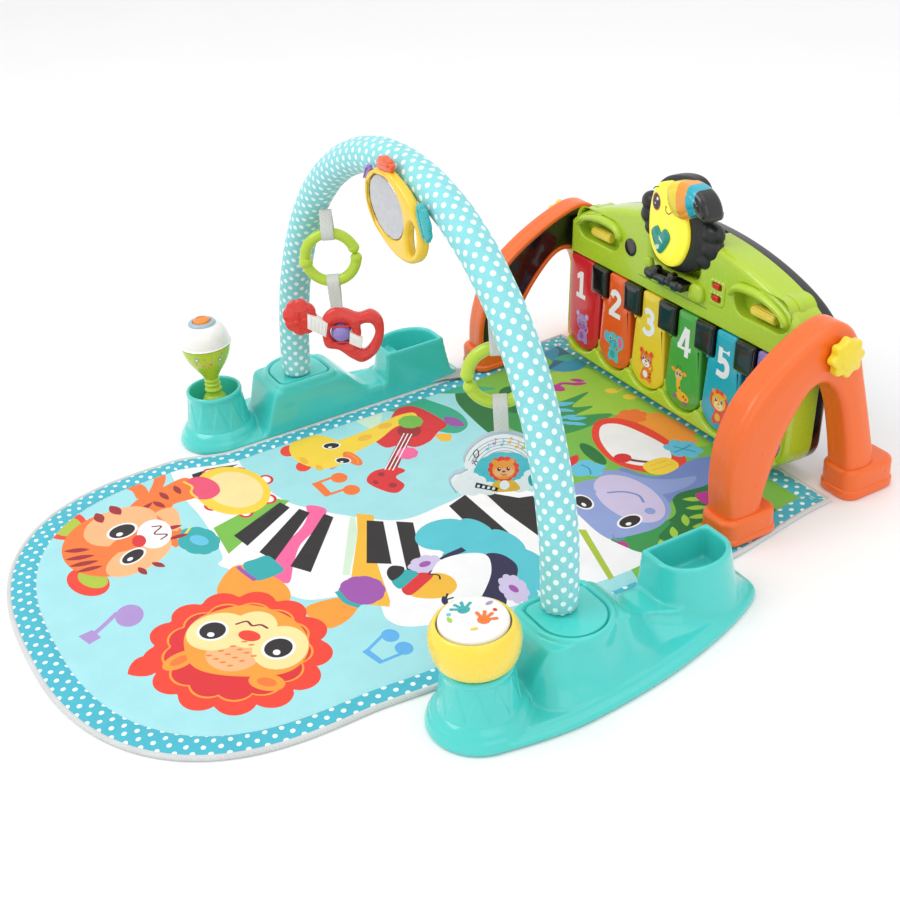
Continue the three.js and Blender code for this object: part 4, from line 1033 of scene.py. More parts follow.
class GYM_OT_mat(bpy.types.Operator):
    """Build the padded mat: its printed face in one sheet of triangles, its border and piping"""
    bl_idname = "gym.build_mat"
    bl_label = "Play mat"

    def execute(self, context):
        s = context.scene.gym_mat
        outline = mat_outline()
        edge_band = (s.band + s.front_band * np.clip((-outline[:, 1] - 200) / 200, 0, 1)) / MM
        seam = inset(outline, edge_band)
        art = [(colour, ccw(np.asarray(loop, float))) for colour, loop in mat_pictures()]
        loops = [outline, seam, inset(outline, edge_band - 3), inset(outline, edge_band + 3),
            inset(outline, 2), inset(outline, 6)]
        extra = grid_points(outline.min(0), outline.max(0), 7.0)
        extra = extra[inside(extra, outline) & (edge_distance(extra, outline)[0] > 3)]
        flat, tris = triangulate(loops + [loop for _, loop in art], extra)
        middle = flat[tris].mean(1)
        tris = tris[inside(middle, outline)]
        middle = flat[tris].mean(1)
        colours = np.tile(np.array(tuple(s.ground) + (1.0,)), (len(tris), 1))
        for colour, loop in art:
            near = np.all((middle >= loop.min(0)) & (middle <= loop.max(0)), axis=1).nonzero()[0]
            colours[near[inside(middle[near], loop)]] = linear(INK[colour])
        rim = ~inside(middle, seam)
        distance, along = edge_distance(flat, outline)
        local_band = (s.band + s.front_band * np.clip((-flat[:, 1] - 200) / 200, 0, 1)) / MM
        top = np.c_[flat, mat_height(flat, (distance, along), local_band)]
        used = np.unique(tris)
        order = np.full(len(flat), -1)
        order[used] = np.arange(len(used))
        top, tris, along, distance = top[used], order[tris], along[used], distance[used]
        sides = np.sort(np.vstack([tris[:, [0, 1]], tris[:, [1, 2]], tris[:, [2, 0]]]), axis=1)
        _, first, count = np.unique(sides, axis=0, return_index=True, return_counts=True)
        directed = np.vstack([tris[:, [0, 1]], tris[:, [1, 2]], tris[:, [2, 0]]])[first[count == 1]]
        n = len(top)
        under = top * np.array([1, 1, 0]) + np.array([0, 0, 0.5])
        wall = np.vstack([np.c_[directed[:, 1], directed[:, 0], directed[:, 0] + n],
                np.c_[directed[:, 1], directed[:, 0] + n, directed[:, 1] + n]])
        every = np.vstack([tris, tris[:, ::-1] + n, wall])
        mesh = new_mesh("mat_cloth", np.vstack([top, under]), every)
        extras = len(every) - len(tris)
        plain = np.tile(linear("#dfe5e6"), (extras, 1))
        paint(mesh, np.vstack([colours, plain]))
        layer = mesh.attributes.new("border", "FLOAT", "FACE")
        layer.data.foreach_set("value", np.r_[rim, np.zeros(extras)].astype(np.float32))
        total = np.linalg.norm(np.roll(outline, -1, 0) - outline, axis=1).sum()
        laps = round(total * MM / s.pitch) * s.pitch / (total * MM)
        u, v = np.tile(along, 2)[every] * laps * MM, np.tile(distance, 2)[every] * MM
        span = total * laps * MM
        u = np.where((u.max(1, keepdims=True) - u.min(1, keepdims=True) > span / 2)
            & (u < span / 2), u + span, u)
        uv = mesh.uv_layers.new(name="along")
        uv.data.foreach_set("uv", np.stack([u, v], -1).astype(np.float32).ravel())
        obj = finish_piece(mesh, "mat_cloth", MATERIALS["mat"], "root", "mat_fabric", ["play_mat"],
            sharp=60)

        edge = inset(outline, 1.6)
        piece("mat_piping", sweep(np.c_[edge, np.full(len(edge), 3.1)], (0, 0, 1), 2.9, 14,
                closed=True), MATERIALS["piping"], "root", "mat_fabric")
        stitch = inset(outline, edge_band)
        dashes = np.linspace(0, len(stitch), 420, endpoint=False).astype(int)
        a = stitch[dashes]
        d = np.roll(stitch, -1, 0)[dashes] - a
        d /= np.linalg.norm(d, axis=1)[:, None]
        m = side_normals(ccw(outline))[dashes]
        corners = np.stack([a - d * 1.6 - m * 0.35, a + d * 1.6 - m * 0.35, a + d * 1.6 + m * 0.35,
                a - d * 1.6 + m * 0.35], 1)
        pts = np.concatenate([corners, np.full(corners.shape[:2] + (1,), 4.15)], -1).reshape(-1, 3)
        q = np.arange(len(a))[:, None] * 4
        piece("mat_stitches", (pts, np.vstack([q + [0, 1, 2], q + [0, 2, 3]])), MATERIALS["tape"],
            "root", "mat_fabric")

        t = np.linspace(0, 1, 40)
        path = np.c_[-289 + 22 * t, 186 + 56 * t, 8.0 + 2.2 * np.sin(np.pi * t) + 0.35
            * np.sin(t * 90)]
        across = np.array([56.0, -22.0, 0]) / math.hypot(56, 22)
        piece("mat_strap", band(path, across, 27, 1.8), MATERIALS["strap"], "root", "webbing")
        return {"FINISHED"}


# ---- bases ------------------------------------------------------------------------------

BASE_IN = 275.0
POST_X, POST_Y = 329.0, -107.0
# Tables down the base, from y: the foot's outer edge, the crown's height and its outer edge.
FOOT_X = np.array([(-70, 390), (-20, 393), (60, 386), (128, 372), (190, 352), (228, 330)], float)
CROWN_Z = np.array([(-66, 12), (-40, 65), (48, 65), (92, 31), (120, 30), (206, 28), (226, 12)],
    float)
CROWN_X = np.array([(-66, 340), (-30, 356), (5, 362), (44, 350), (92, 322), (128, 336), (180, 338),
        (226, 318)], float)


def foot_loop():
    """The base's footprint: straight inside, round under the post, bowed outside."""
    t = np.linspace(np.pi, 1.93 * np.pi, 30)
    end = np.c_[POST_X + 53 * np.cos(t), POST_Y + 53 * np.sin(t)]
    outer = spline([(POST_X + 53 * math.cos(1.93 * math.pi), POST_Y + 53 * math.sin(1.93
            * math.pi))] + [(x, y) for y, x in FOOT_X] + [(300, 234), (BASE_IN, 232)], 7,
        closed=False)
    return np.vstack([end[:-1], outer])


def d_loop(x, y, half_x, half_y, grow=0.0):
    """D outline: a flat side facing the mat with rounded corners, and a half ellipse outside."""
    flat, r = x - half_x - grow, 9.0
    t = np.linspace(-np.pi / 2, np.pi / 2, 40)
    round_ = np.c_[x + (half_x + grow) * np.cos(t), y + (half_y + grow) * np.sin(t)]
    c = np.linspace(np.pi / 2, np.pi, 8)
    top = np.c_[flat + r + r * np.cos(c), y + half_y + grow - r + r * np.sin(c)]
    low = np.c_[flat + r + r * np.cos(c + np.pi / 2), y - half_y - grow + r + r * np.sin(c + np.pi
            / 2)]
    return np.vstack([round_, top, low])


def base_ridge():
    """The body of the base: at each y, a quarter-oval section from the foot's edge to the crown."""
    y = np.linspace(-65.5, 225.5, 110)[:, None]
    top, edge = eased(CROWN_Z, 1, y), eased(CROWN_X, 1, y)
    foot = eased(FOOT_X, 1, y) - 8
    t = np.linspace(0, np.pi / 2, 18)[None]
    x = foot + (edge - foot) * np.sin(t) ** 1.15
    z = 9 + (top - 9) * (1 - np.cos(t)) ** 0.85
    inner = np.full_like(y, BASE_IN + 1)
    rows = [np.stack([foot, y, np.full_like(y, 4)], -1), np.stack([x, np.broadcast_to(y, x.shape),
            z], -1), np.stack([inner + 8, y, top], -1), np.stack([inner + 2, y, top - 2], -1),
        np.stack([inner, y, np.maximum(top - 8, 5)], -1), np.stack([inner, y, np.full_like(y, 4)],
            -1)]
    return capped(np.concatenate(rows, 1))


def wall_shape(loop_at, heights, grows, stops):
    """A shell through D outlines of the given growths at the given heights, closed under and
    inside; each outline's flat side stops short of the mat by its own distance."""
    rings = np.stack([np.c_[np.maximum(loop_at(g), [BASE_IN + stop, -1e9]), np.full(len(loop_at(g)),
            z)] for z, g, stop in zip(heights, grows, stops)])
    return capped(rings)


def base_shape():
    """One base, as overlapping closed parts that are then melted into one skin."""
    foot = foot_loop()
    socket = lambda g: d_loop(320, 5, 35, 35, g)
    tray = lambda g: d_loop(304, 163, 28, 36, g)
    post = lathe([(0, 4), (40, 4), (50.5, 5), (51, 11), (48, 15), (46.5, 19), (43, 23), (38, 28),
            (36, 44), (34, 60), (36, 67), (35.2, 71), (32.8, 72), (31, 70), (30, 60), (28.6, 46),
            (25, 35), (10, 34), (0, 34)], POST_X, POST_Y, 96, 4)
    return join(plate(foot, 0, 8.5, 3.2, holes=[inset(foot, 6)], steps=3), plate(inset(foot, 3),
            2.6, 9.0, 2.5, steps=3), plate(inset(foot, 9), 3.0, 12.4, 3.5, steps=4), base_ridge(),
        post, wall_shape(socket, [50, 60, 66, 69.2, 70.2, 70, 68.6, 62, 61], [7.5, 7.8, 7.6, 6.6,
            4.6, 2.6, 0.9, 0.5, -1], [0.6] * 9), wall_shape(tray, [4, 14, 30, 48, 62, 68, 70.2,
            70.6, 70, 67, 50, 36, 34.2], [19, 17, 13, 9.6, 7.6, 7, 5.6, 3.4, 1.4, 0.2, -0.6, -1.4,
            -4], [0.6, 0.6, 0.6, 0.6, 0.8, 1.0, 1.8, 3.0, 4.4, 5.4, 5.8, 6.2, 8.0]),
        plate(round_rect(308, 328, 131, 152, 5), 33, 54, 2.0, steps=3))


def melt(name, shape, voxel, rounds):
    """Overlapping parts made one skin: remeshed at a voxel size, then its edges relaxed."""
    mesh = new_mesh(name + "_parts", *shape)
    b = bmesh.new()
    b.from_mesh(mesh)
    bmesh.ops.remove_doubles(b, verts=b.verts, dist=4e-6)
    bmesh.ops.recalc_face_normals(b, faces=b.faces)
    b.to_mesh(mesh)
    b.free()
    source = bpy.data.objects.new(name + "_parts", mesh)
    bpy.context.scene.collection.objects.link(source)
    remesh = source.modifiers.new("remesh", "REMESH")
    remesh.mode, remesh.voxel_size, remesh.adaptivity = "VOXEL", voxel * MM, 0.0
    relax = source.modifiers.new("relax", "SMOOTH")
    relax.factor, relax.iterations = 0.5, rounds
    depsgraph = bpy.context.evaluated_depsgraph_get()
    done = bpy.data.meshes.new_from_object(source.evaluated_get(depsgraph))
    bpy.data.objects.remove(source)
    co = np.zeros(len(done.vertices) * 3, np.float32)
    done.vertices.foreach_get("co", co)
    done.calc_loop_triangles()
    tris = np.zeros(len(done.loop_triangles) * 3, np.int32)
    done.loop_triangles.foreach_get("vertices", tris)
    return co.reshape(-1, 3).astype(float) / MM, tris.reshape(-1, 3)


class GYM_OT_bases(bpy.types.Operator):
    """Build the two moulded bases with their posts, sockets and trays"""
    bl_idname = "gym.build_bases"
    bl_label = "Bases"

    def execute(self, context):
        # the post's zigzag collar: eleven teeth that stand 1 mm proud and narrow upwards
        z, t = np.meshgrid(np.linspace(24, 66, 22), np.linspace(0, 2 * np.pi, 240, endpoint=False),
            indexing="ij")
        saw = np.abs(((t * 11 / (2 * np.pi)) % 1) - 0.5) * 2
        facet = np.clip((saw - (z - 27) / 36) * 9 + 0.5, 0, 1) * np.clip((z - 24) / 5, 0, 1)
        post = np.interp(z, [24, 30, 44, 60, 66], [41.0, 38.4, 36.2, 34.3, 34.8])
        radius = post + 0.2 + 1.0 * facet
        outside = np.stack([POST_X + radius * np.cos(t), POST_Y + radius * np.sin(t), z], -1)
        whole = melt("base", base_shape(), 1.7, 5)
        wall = np.stack([(POST_X + r * np.cos(t[0]), POST_Y + r * np.sin(t[0]), np.full(240, zz))
                for r, zz in ((33.4, 30), (33.4, 64))], 0).transpose(0, 2, 1)
        shell = grid(np.concatenate([outside, wall[::-1]], 0), ring=True)
        foot = plate(d_loop(320, 5, 35, 35, -0.9), 63, 69.4, 1.4, steps=4)
        core = moved(lathe([(0, 60), (9, 60), (9, 112), (0, 112)], 305, 0, 24, sharp=True),
            lean_arch)
        for side, steps in (("left", [mirror]), ("right", [])):
            piece(f"{side}_base_skin", moved(join(whole, shell), *steps), MATERIALS["turquoise"],
                "root", "base_plastic", [f"{side}_base"], sharp=50)
            piece(f"{side}_foot_plate", moved(join(foot, core), *steps), MATERIALS["turquoise"],
                "root", "base_plastic", [f"{side}_arch_foot"])
        return {"FINISHED"}


# ---- arch -------------------------------------------------------------------------------


def arch_path():
    """The arch's middle line: short straight feet, then half an ellipse; and its running length."""
    low = np.linspace(ARCH_FOOT_Z + 2.2, ARCH_SPRING, 12, endpoint=False)
    t = np.linspace(np.pi, 0, 420)
    p = np.vstack([np.c_[np.full(12, -ARCH_HALF), low], np.c_[ARCH_HALF * np.cos(t), ARCH_SPRING
            + ARCH_RISE * np.sin(t)], np.c_[np.full(12, ARCH_HALF), low[::-1]]])
    p = np.c_[p[:, 0], np.zeros(len(p)), p[:, 1]]
    return p, np.r_[0, np.cumsum(np.linalg.norm(np.diff(p, axis=0), axis=1))]


class GYM_OT_arch(bpy.types.Operator):
    """Build the padded sleeve on the arch, with gathered ends and a seam inside"""
    bl_idname = "gym.build_arch"
    bl_label = "Toy arch"

    def execute(self, context):
        s = context.scene.gym_sleeve
        path, run = arch_path()
        sides = 64
        d = np.gradient(path, axis=0)
        d /= np.linalg.norm(d, axis=1)[:, None]
        axis = np.array([0.0, 1.0, 0.0])
        out = np.cross(axis, d)
        t = np.linspace(0, 2 * np.pi, sides, endpoint=False)
        end = np.minimum(run, run[-1] - run)[:, None]
        gather = np.exp(-end / 5.0)
        r = (s.radius / MM - 2.6 * gather + 0.5 * gather * np.sin(t * 13) + 0.16
            * np.sin(run[:, None] / 23 + 2 * t) + 0.12 * np.sin(run[:, None] / 9.0 - 3 * t))
        r = r - 0.9 * np.exp(-((np.mod(t, 2 * np.pi) - np.pi) / 0.05) ** 2)
        points = path[:, None] + r[..., None] * (np.cos(t)[:, None] * out[:, None] + np.sin(t)[:,
                None] * axis)
        rows = len(path)
        points, tris = moved(capped(points), lean_arch)
        mesh = new_mesh("sleeve_cloth", points, tris)
        n = rows * sides
        u, v = np.tile(t / (2 * np.pi) * 8 * s.pitch, rows), np.repeat(run * MM, sides)
        u, v = np.r_[u, 0, 0], np.r_[v, 0, run[-1] * MM]
        fu, fv = u[tris], v[tris]
        body = (tris < n).all(1)[:, None]
        lap = 8 * s.pitch
        fu = np.where(body & (fu.max(1, keepdims=True) - fu.min(1, keepdims=True) > lap / 2)
            & (fu < lap / 2), fu + lap, fu)
        uv = mesh.uv_layers.new(name="along")
        uv.data.foreach_set("uv", np.stack([fu, fv], -1).astype(np.float32).ravel())
        obj = finish_piece(mesh, "sleeve_cloth", MATERIALS["sleeve"], "root", "sleeve_fabric",
            ["arch_sleeve"], sharp=70)
        return {"FINISHED"}


# ---- cup toys ---------------------------------------------------------------------------


def around(x, y, radius, z, yaw):
    """A place on an upright round body: x runs round it, y up it; radius is a table by height."""
    table = np.asarray(radius, float)

    def place(u, v, h):
        r = np.interp(z + v, table[:, 0], table[:, 1])
        a = math.radians(yaw) + u / np.maximum(r, 1)
        return np.c_[x + (r + h) * np.cos(a), y + (r + h) * np.sin(a), z + v]
    return place


class GYM_OT_cup_toys(bpy.types.Operator):
    """Build the maraca and the drum that stand in the bases' cups"""
    bl_idname = "gym.build_cup_toys"
    bl_label = "Maraca and drum"

    def execute(self, context):
        m = (-POST_X, POST_Y)
        handle = [(0, 34.3), (15, 34.3), (18, 36), (18.6, 46), (16, 56), (12.6, 62), (11, 64),
            (10, 68), (11.4, 71), (9.6, 74), (9, 76), (10.2, 78), (8.8, 80), (8.8, 82), (10.0, 84),
            (9.0, 86), (9.6, 89), (13.6, 96), (20, 105), (26, 115.5), (29.8, 126), (31.0, 135),
            (30.6, 136.4), (0, 136.4)]
        piece("maraca_lower", lathe(handle, *m), MATERIALS["lime"], "maraca", "lime_plastic",
            ["maraca_handle"])
        cap = [(0, 137), (30.7, 136.9), (31.2, 138), (30.7, 145), (28, 153.4), (22.6, 160),
            (15, 164.6), (13, 165.2), (0, 165.2)]
        piece("maraca_upper", lathe(cap, *m), MATERIALS["white"], "maraca", "white_plastic",
            ["maraca_cap"])
        piece("maraca_ring", lathe([(11.2, 164.9), (12, 166.8), (14.2, 167.1), (16.6, 165.8),
                (17.6, 163.6), (14, 163), (11.2, 164.9)], *m, sharp=True), MATERIALS["ring_grey"],
            "maraca", "white_plastic")
        piece("maraca_top_button", lathe([(0, 164), (10.6, 164), (10.8, 167), (9.6, 169.4),
                (6.4, 170.8), (5.8, 169.8), (3, 169.4), (0, 169.4)], *m), MATERIALS["button"],
            "maraca", "orange_plastic", ["maraca_button"])
        skin = [(89, 9.6), (96, 13.6), (105, 20), (115.5, 26), (126, 29.8), (135, 31)]
        art = notes(-7, -5, 11, 0, "orange") + [("grey", oval(-15, 4, 3, 3)),
            ("white", oval(-15, 4, 1.6, 1.6)), ("grey", oval(15, 0, 3, 3)),
            ("white", oval(15, 0, 1.6, 1.6)), ("pink", stroke([(-17, -1), (-16, -6)], 1.2)),
            ("sky", stroke([(17, 5), (19, 9)], 1.2))]
        artwork("maraca_print", art, around(*m, skin, 122, -17), "maraca", "lime_plastic",
            lift=0.15, step=2.5)

        d = (POST_X, POST_Y)
        bowl = [(0, 34.6), (19, 34.6), (23, 40), (26.6, 47), (28, 60), (29, 72), (33, 72.8),
            (37.4, 76), (40.6, 82), (42.6, 90), (43.4, 98), (42.6, 106), (40, 112), (37.6, 115.4),
            (35.6, 116.6), (34.6, 115.4), (34.4, 112), (34.2, 104), (0, 104)]
        piece("drum_shell", lathe(bowl, *d, n=128), MATERIALS["yellow"], "root", "yellow_plastic",
            ["drum_bowl"])
        pad = [(0, 107.6), (32.6, 107.6), (33.1, 110), (33.1, 116.5), (32.2, 119.4), (29.6, 121.2),
            (20, 122.4), (0, 123.2)]
        piece("drum_top", lathe(pad, *d, n=128), MATERIALS["white"], "drum", "white_plastic",
            ["drum_pad"])
        heights = np.array([[0, 123.2], [10, 122.95], [20, 122.4], [27, 121.75], [30, 121.0],
                [33, 117.5]])
        c, s = 0.468, 0.884

        def on_pad(u, v, h):
            x, y = u * c - v * s, u * s + v * c
            return np.c_[POST_X + x, POST_Y + y, np.interp(np.hypot(x, y), heights[:, 0],
                    heights[:, 1]) + h]

        def hand(x, y, colour, turn_by):
            size, w = 15, math.radians(turn_by)
            palm = [oval(x, y, 0.40 * size, 0.36 * size, turn_by)]
            for a in (-62, -22, 12, 48):
                b = w + math.radians(a + 90)
                tip = (x + size * 0.78 * math.cos(b), y + size * 0.78 * math.sin(b))
                palm.append(stroke([(x, y), tip], 0.22 * size))
                palm.append(oval(*tip, 0.12 * size, 0.12 * size, 0, 14))
            return [(colour, p) for p in palm]

        art = hand(-8, 9, "teal", 30) + hand(9, -8, "orange", -20) + [("lilac", leaf(12, 14, 9, 4,
                40)), ("lime", leaf(-20, -8, 9, 4, 110)), ("red", oval(20, 6, 2, 2)),
            ("yellow", leaf(-4, -20, 8, 3, 10)), ("sky", oval(-22, 4, 2, 2))]
        artwork("drum_print", art, on_pad, "drum", "white_plastic", lift=0.12, step=3)
        return {"FINISHED"}


# ---- hanging toys -----------------------------------------------------------------------

RING_Z, RING_R, WIRE = 266.0, 30.0, 6.4


def toy_at(x):
    """Steps from a hanging toy's own upright frame to the gym's frame."""
    return turn("Z", math.degrees(TOY_YAW)), shift(x, math.tan(ARCH_LEAN) * (326 - ARCH_FOOT_Z), 0)


def strap_loop(wire_z, end_z, up):
    """A strap folded round the ring's wire: both plies run to end_z, up or down."""
    sign = 1 if up else -1
    t = np.linspace(0, np.pi, 26)
    turn_ = np.c_[np.zeros(26), (WIRE + 1.3) * np.cos(t), wire_z - sign * (WIRE + 1.3) * np.sin(t)]
    first = np.c_[np.zeros(6), np.linspace(1.0, WIRE + 1.3, 6), np.linspace(end_z, wire_z, 6,
            endpoint=False)]
    last = first[::-1] * np.array([1, -1, 1])
    return band(np.vstack([first, turn_, last]), (1.0, 0, 0), 14.5, 1.5)


def c_ring(open_at):
    """The plastic link: a C of round wire with ball ends and one knuckle."""
    gap, start = math.radians(13), math.radians(open_at)
    t = np.linspace(start + gap, start + 2 * np.pi - gap, 90)
    ends = [(RING_R * math.cos(a), 0, RING_Z + RING_R * math.sin(a)) for a in (t[0], t[-1])]
    k = start + math.pi
    knuckle = (RING_R * math.cos(k), 0, RING_Z + RING_R * math.sin(k))
    return join(sweep(np.c_[RING_R * np.cos(t), np.zeros(90), RING_Z + RING_R * np.sin(t)],
            (0, 1, 0), WIRE, 28), ball(*ends[0], 7.0), ball(*ends[1], 7.0), ball(*knuckle, 8.2, 8.2,
            8.2))


class GYM_OT_hanging_toys(bpy.types.Operator):
    """Build the two link rings with their straps, the guitar and the song card"""
    bl_idname = "gym.build_hanging_toys"
    bl_label = "Hanging toys"

    def execute(self, context):
        for side, x, open_at, end in (("left", -186, 8, 203), ("right", 186, 188, 205)):
            at = toy_at(x)
            body = f"{side}_toy"
            piece(f"{side}_link", moved(c_ring(open_at), *at), MATERIALS["link"], body,
                "lime_plastic", [f"{side}_toy_ring"])
            piece(f"{side}_upper_strap", moved(strap_loop(RING_Z + RING_R, 324.5, True), *at),
                MATERIALS["tape"], body, "webbing", [f"{side}_toy_loop"])
            piece(f"{side}_lower_strap", moved(strap_loop(RING_Z - RING_R, end - 2, False), *at),
                MATERIALS["tape"], body, "webbing", [f"{side}_toy_strap"])
        self.guitar()
        self.card()
        return {"FINISHED"}

    def guitar(self):
        at = (stand, shift(3, 0, 166)) + toy_at(-186)
        body = spline([(-24, 10), (-20, 26), (-6, 36), (8, 33), (22, 27), (38, 30), (50, 18),
                (50, -4), (40, -26), (22, -38), (8, -32), (-6, -20), (-22, -14)])
        grip = spline([(24, 12), (36, 13), (40, 2), (34, -12), (24, -22), (20, -14), (23, 0)])
        shell = plate(body, -6.5, 6.5, 4.5, holes=[grip, oval(-1, 3, 13.2, 13.2, 0, 40)], dome=2.6,
            reach=10, step=2.5)
        piece("guitar_shell", moved(shell, *at), MATERIALS["red"], "left_toy", "red_plastic",
            ["guitar_body"])
        head = scallop(-46, 26, 21, 23.5, 8, 0.09, 10)
        rosette = plate(head, -5, 5, 3.4, dome=2.2, reach=11, step=2.5)
        note = join(*(plate(loop, 5, 8.6, 0.8, steps=3) for loop in (oval(-51, 22, 4, 3.2, 20),
                oval(-40, 25, 4, 3.2, 20), np.array([(-48.6, 22), (-46.6, 22), (-46.6, 36),
                (-48.6, 36)]), np.array([(-37.6, 25), (-35.6, 25), (-35.6, 38), (-37.6, 38)]),
                np.array([(-48.6, 34), (-35.6, 36.6), (-35.6, 39.6), (-48.6, 37.4)]))))
        piece("guitar_rosette", moved(join(rosette, note), shift(-2, 0, 0), *at), MATERIALS["red"],
            "left_toy", "red_plastic", ["guitar_head"])
        ribs = [plate(np.array([(-34 + 4 * k, 31 - 2.4 * k), (-36 + 4 * k, 14 - 2.4 * k),
                (-33.4 + 4 * k, 12.6 - 2.4 * k), (-31.4 + 4 * k, 29.6 - 2.4 * k)]), 2, 10.6, 0.7,
                steps=2) for k in range(5)]
        strip = join(plate(np.array([(-36, 33), (-38, 14), (-17, 1), (-13, 19)]), -3, 9.8, 1.2,
                steps=3), plate(np.array([(12, 6), (10, -9), (24, -17), (27, -4)]), 2, 10.0, 1.2,
                steps=3))
        piece("guitar_neck", moved(join(strip, *ribs), shift(-2, 0, 0), *at), MATERIALS["white"],
            "left_toy", "white_plastic")
        piece("guitar_bead", moved(ball(2, 0, 169, 12.4, n=56), *toy_at(-186)), MATERIALS["lilac"],
            "ball", "lilac_plastic", ["guitar_ball"])
        bars = [plate(round_rect(-12.5, 10.5, z - 1, z + 1, 0.9), 7, 8.6, 0.6, steps=2)
            for z in (-7.5, 13.5)]
        piece("guitar_bridges", moved(join(*bars), *at), MATERIALS["red"], "left_toy",
            "red_plastic")

    def card(self):
        cloud = [(-55, 12), (-56, 19), (-50, 26), (-44, 27), (-38, 30)]
        t = np.pi * (0.86 - 0.72 * np.linspace(0, 1, 40))
        outline = np.vstack([[(-50, 2)], cloud, np.c_[44 * np.cos(t), 22 + 48 * np.sin(t)],
                [(-x, y) for x, y in cloud][::-1], [(50, 2)]])
        up = (stand, shift(0, 0, 134)) + toy_at(186)
        piece("card_rim", moved(plate(outline, -3, 3, 1.2), *up), MATERIALS["grey_blue"],
            "right_toy", "card_plastic", ["song_card"])
        face = plate(inset(outline, 2.2), -3.25, 3.25, 0.4, steps=2)
        piece("card_face", moved(face, *up), MATERIALS["card"], "right_toy", "card_plastic")
        a = np.linspace(0.9 * np.pi, 0.1 * np.pi, 40)
        sky = np.vstack([np.c_[41 * np.cos(a), 22 + 45 * np.sin(a)], [(38, 30), (30, 34), (-30, 34),
                (-38, 30)]])
        art = [("white", sky)]
        a = np.linspace(0.86 * np.pi, 0.14 * np.pi, 30)
        for k in range(5):
            r = 1 - 0.085 * k
            art.append(("grey", stroke(np.c_[38 * r * np.cos(a), 22 + 41 * r * np.sin(a)], 0.7)))
        for k, colour in enumerate(("sky", "lilac", "sky", "mustard", "mustard", "lime", "grey")):
            a = math.radians(118 - 13.5 * k)
            x, y = 32 * math.cos(a), 22 + 35 * math.sin(a) + (2 if k % 2 else -1)
            art += [(colour, oval(x, y, 1.9, 1.5)),
                (colour, stroke([(x + 1.6, y), (x + 1.6, y + 6)], 0.8)),
                (colour, stroke([(x + 1.6, y + 6), (x + 3.6, y + 4)], 0.9))]
        art += [("ink", stroke([(-31, 36), (-27, 41), (-29, 48), (-25, 52), (-24, 46), (-28, 40),
                (-24, 37), (-27, 34), (-30, 40)], 1.0))]
        clouds = [("cloud", scallop(0, 26, 30, 22, 9, 0.06)), ("white", scallop(-34, 12, 17, 14, 7,
                0.14)), ("white", scallop(-16, 6, 14, 8, 6, 0.12)), ("white", scallop(33, 14, 17,
                13, 7, 0.14)), ("white", scallop(15, 7, 12, 8, 6, 0.12))]
        lion = [("mustard", spline([(-12, 2), (-11, 12), (0, 16), (11, 12), (14, 2)])),
            ("scarlet", scallop(0, 28, 16, 15, 13, 0.13)), ("amber", oval(0, 27, 11.5, 11)),
            ("skin", oval(-4.6, 24.6, 5.4, 5)), ("skin", oval(4.6, 24.6, 5.4, 5)),
            ("amber", oval(-8.5, 36.5, 3.2, 3)), ("amber", oval(8.5, 36.5, 3.2, 3)),
            ("black", oval(-4.6, 28, 1.9, 2.3)), ("black", oval(4.6, 28, 1.9, 2.3)),
            ("white", oval(-4, 28.8, 0.7, 0.8)), ("white", oval(5.2, 28.8, 0.7, 0.8)),
            ("brown", oval(0, 25, 1.8, 1.2)), ("brown", stroke([(-3, 22.2), (0, 21), (3, 22.2)],
                0.7)), ("white", oval(0, 9, 5, 5.5))]
        keys = [("black", np.array([(-30, 8), (-8, 2), (-6, 6), (-28, 14)]))]
        keys += [("white", np.array([(-28 + 5 * k, 8.4 - 1.3 * k), (-25.4 + 5 * k, 7.7 - 1.3 * k),
                (-24.2 + 5 * k, 10.6 - 1.3 * k), (-26.8 + 5 * k, 11.3 - 1.3 * k)]))
            for k in range(4)]
        badge = [("teal", spline([(24, 13), (26, 19), (36, 21), (46, 17), (48, 9), (38, 5),
                (27, 6)])), ("white", stroke([(29, 15), (43, 13.5)], 0.8)),
            ("white", stroke([(29, 11), (41, 9.6)], 0.8))]

        def front(x, y, h):
            return moved((np.c_[x, y, 3.3 + h], None), *up)[0]

        def rear(x, y, h):
            return moved((np.c_[-x, y, -3.3 - h], None), *up)[0]

        every = art + clouds + lion + keys + badge
        artwork("card_front_print", every, front, "right_toy", "card_plastic", lift=0.02)
        artwork("card_rear_print", art + clouds, rear, "right_toy", "card_plastic", lift=0.02)


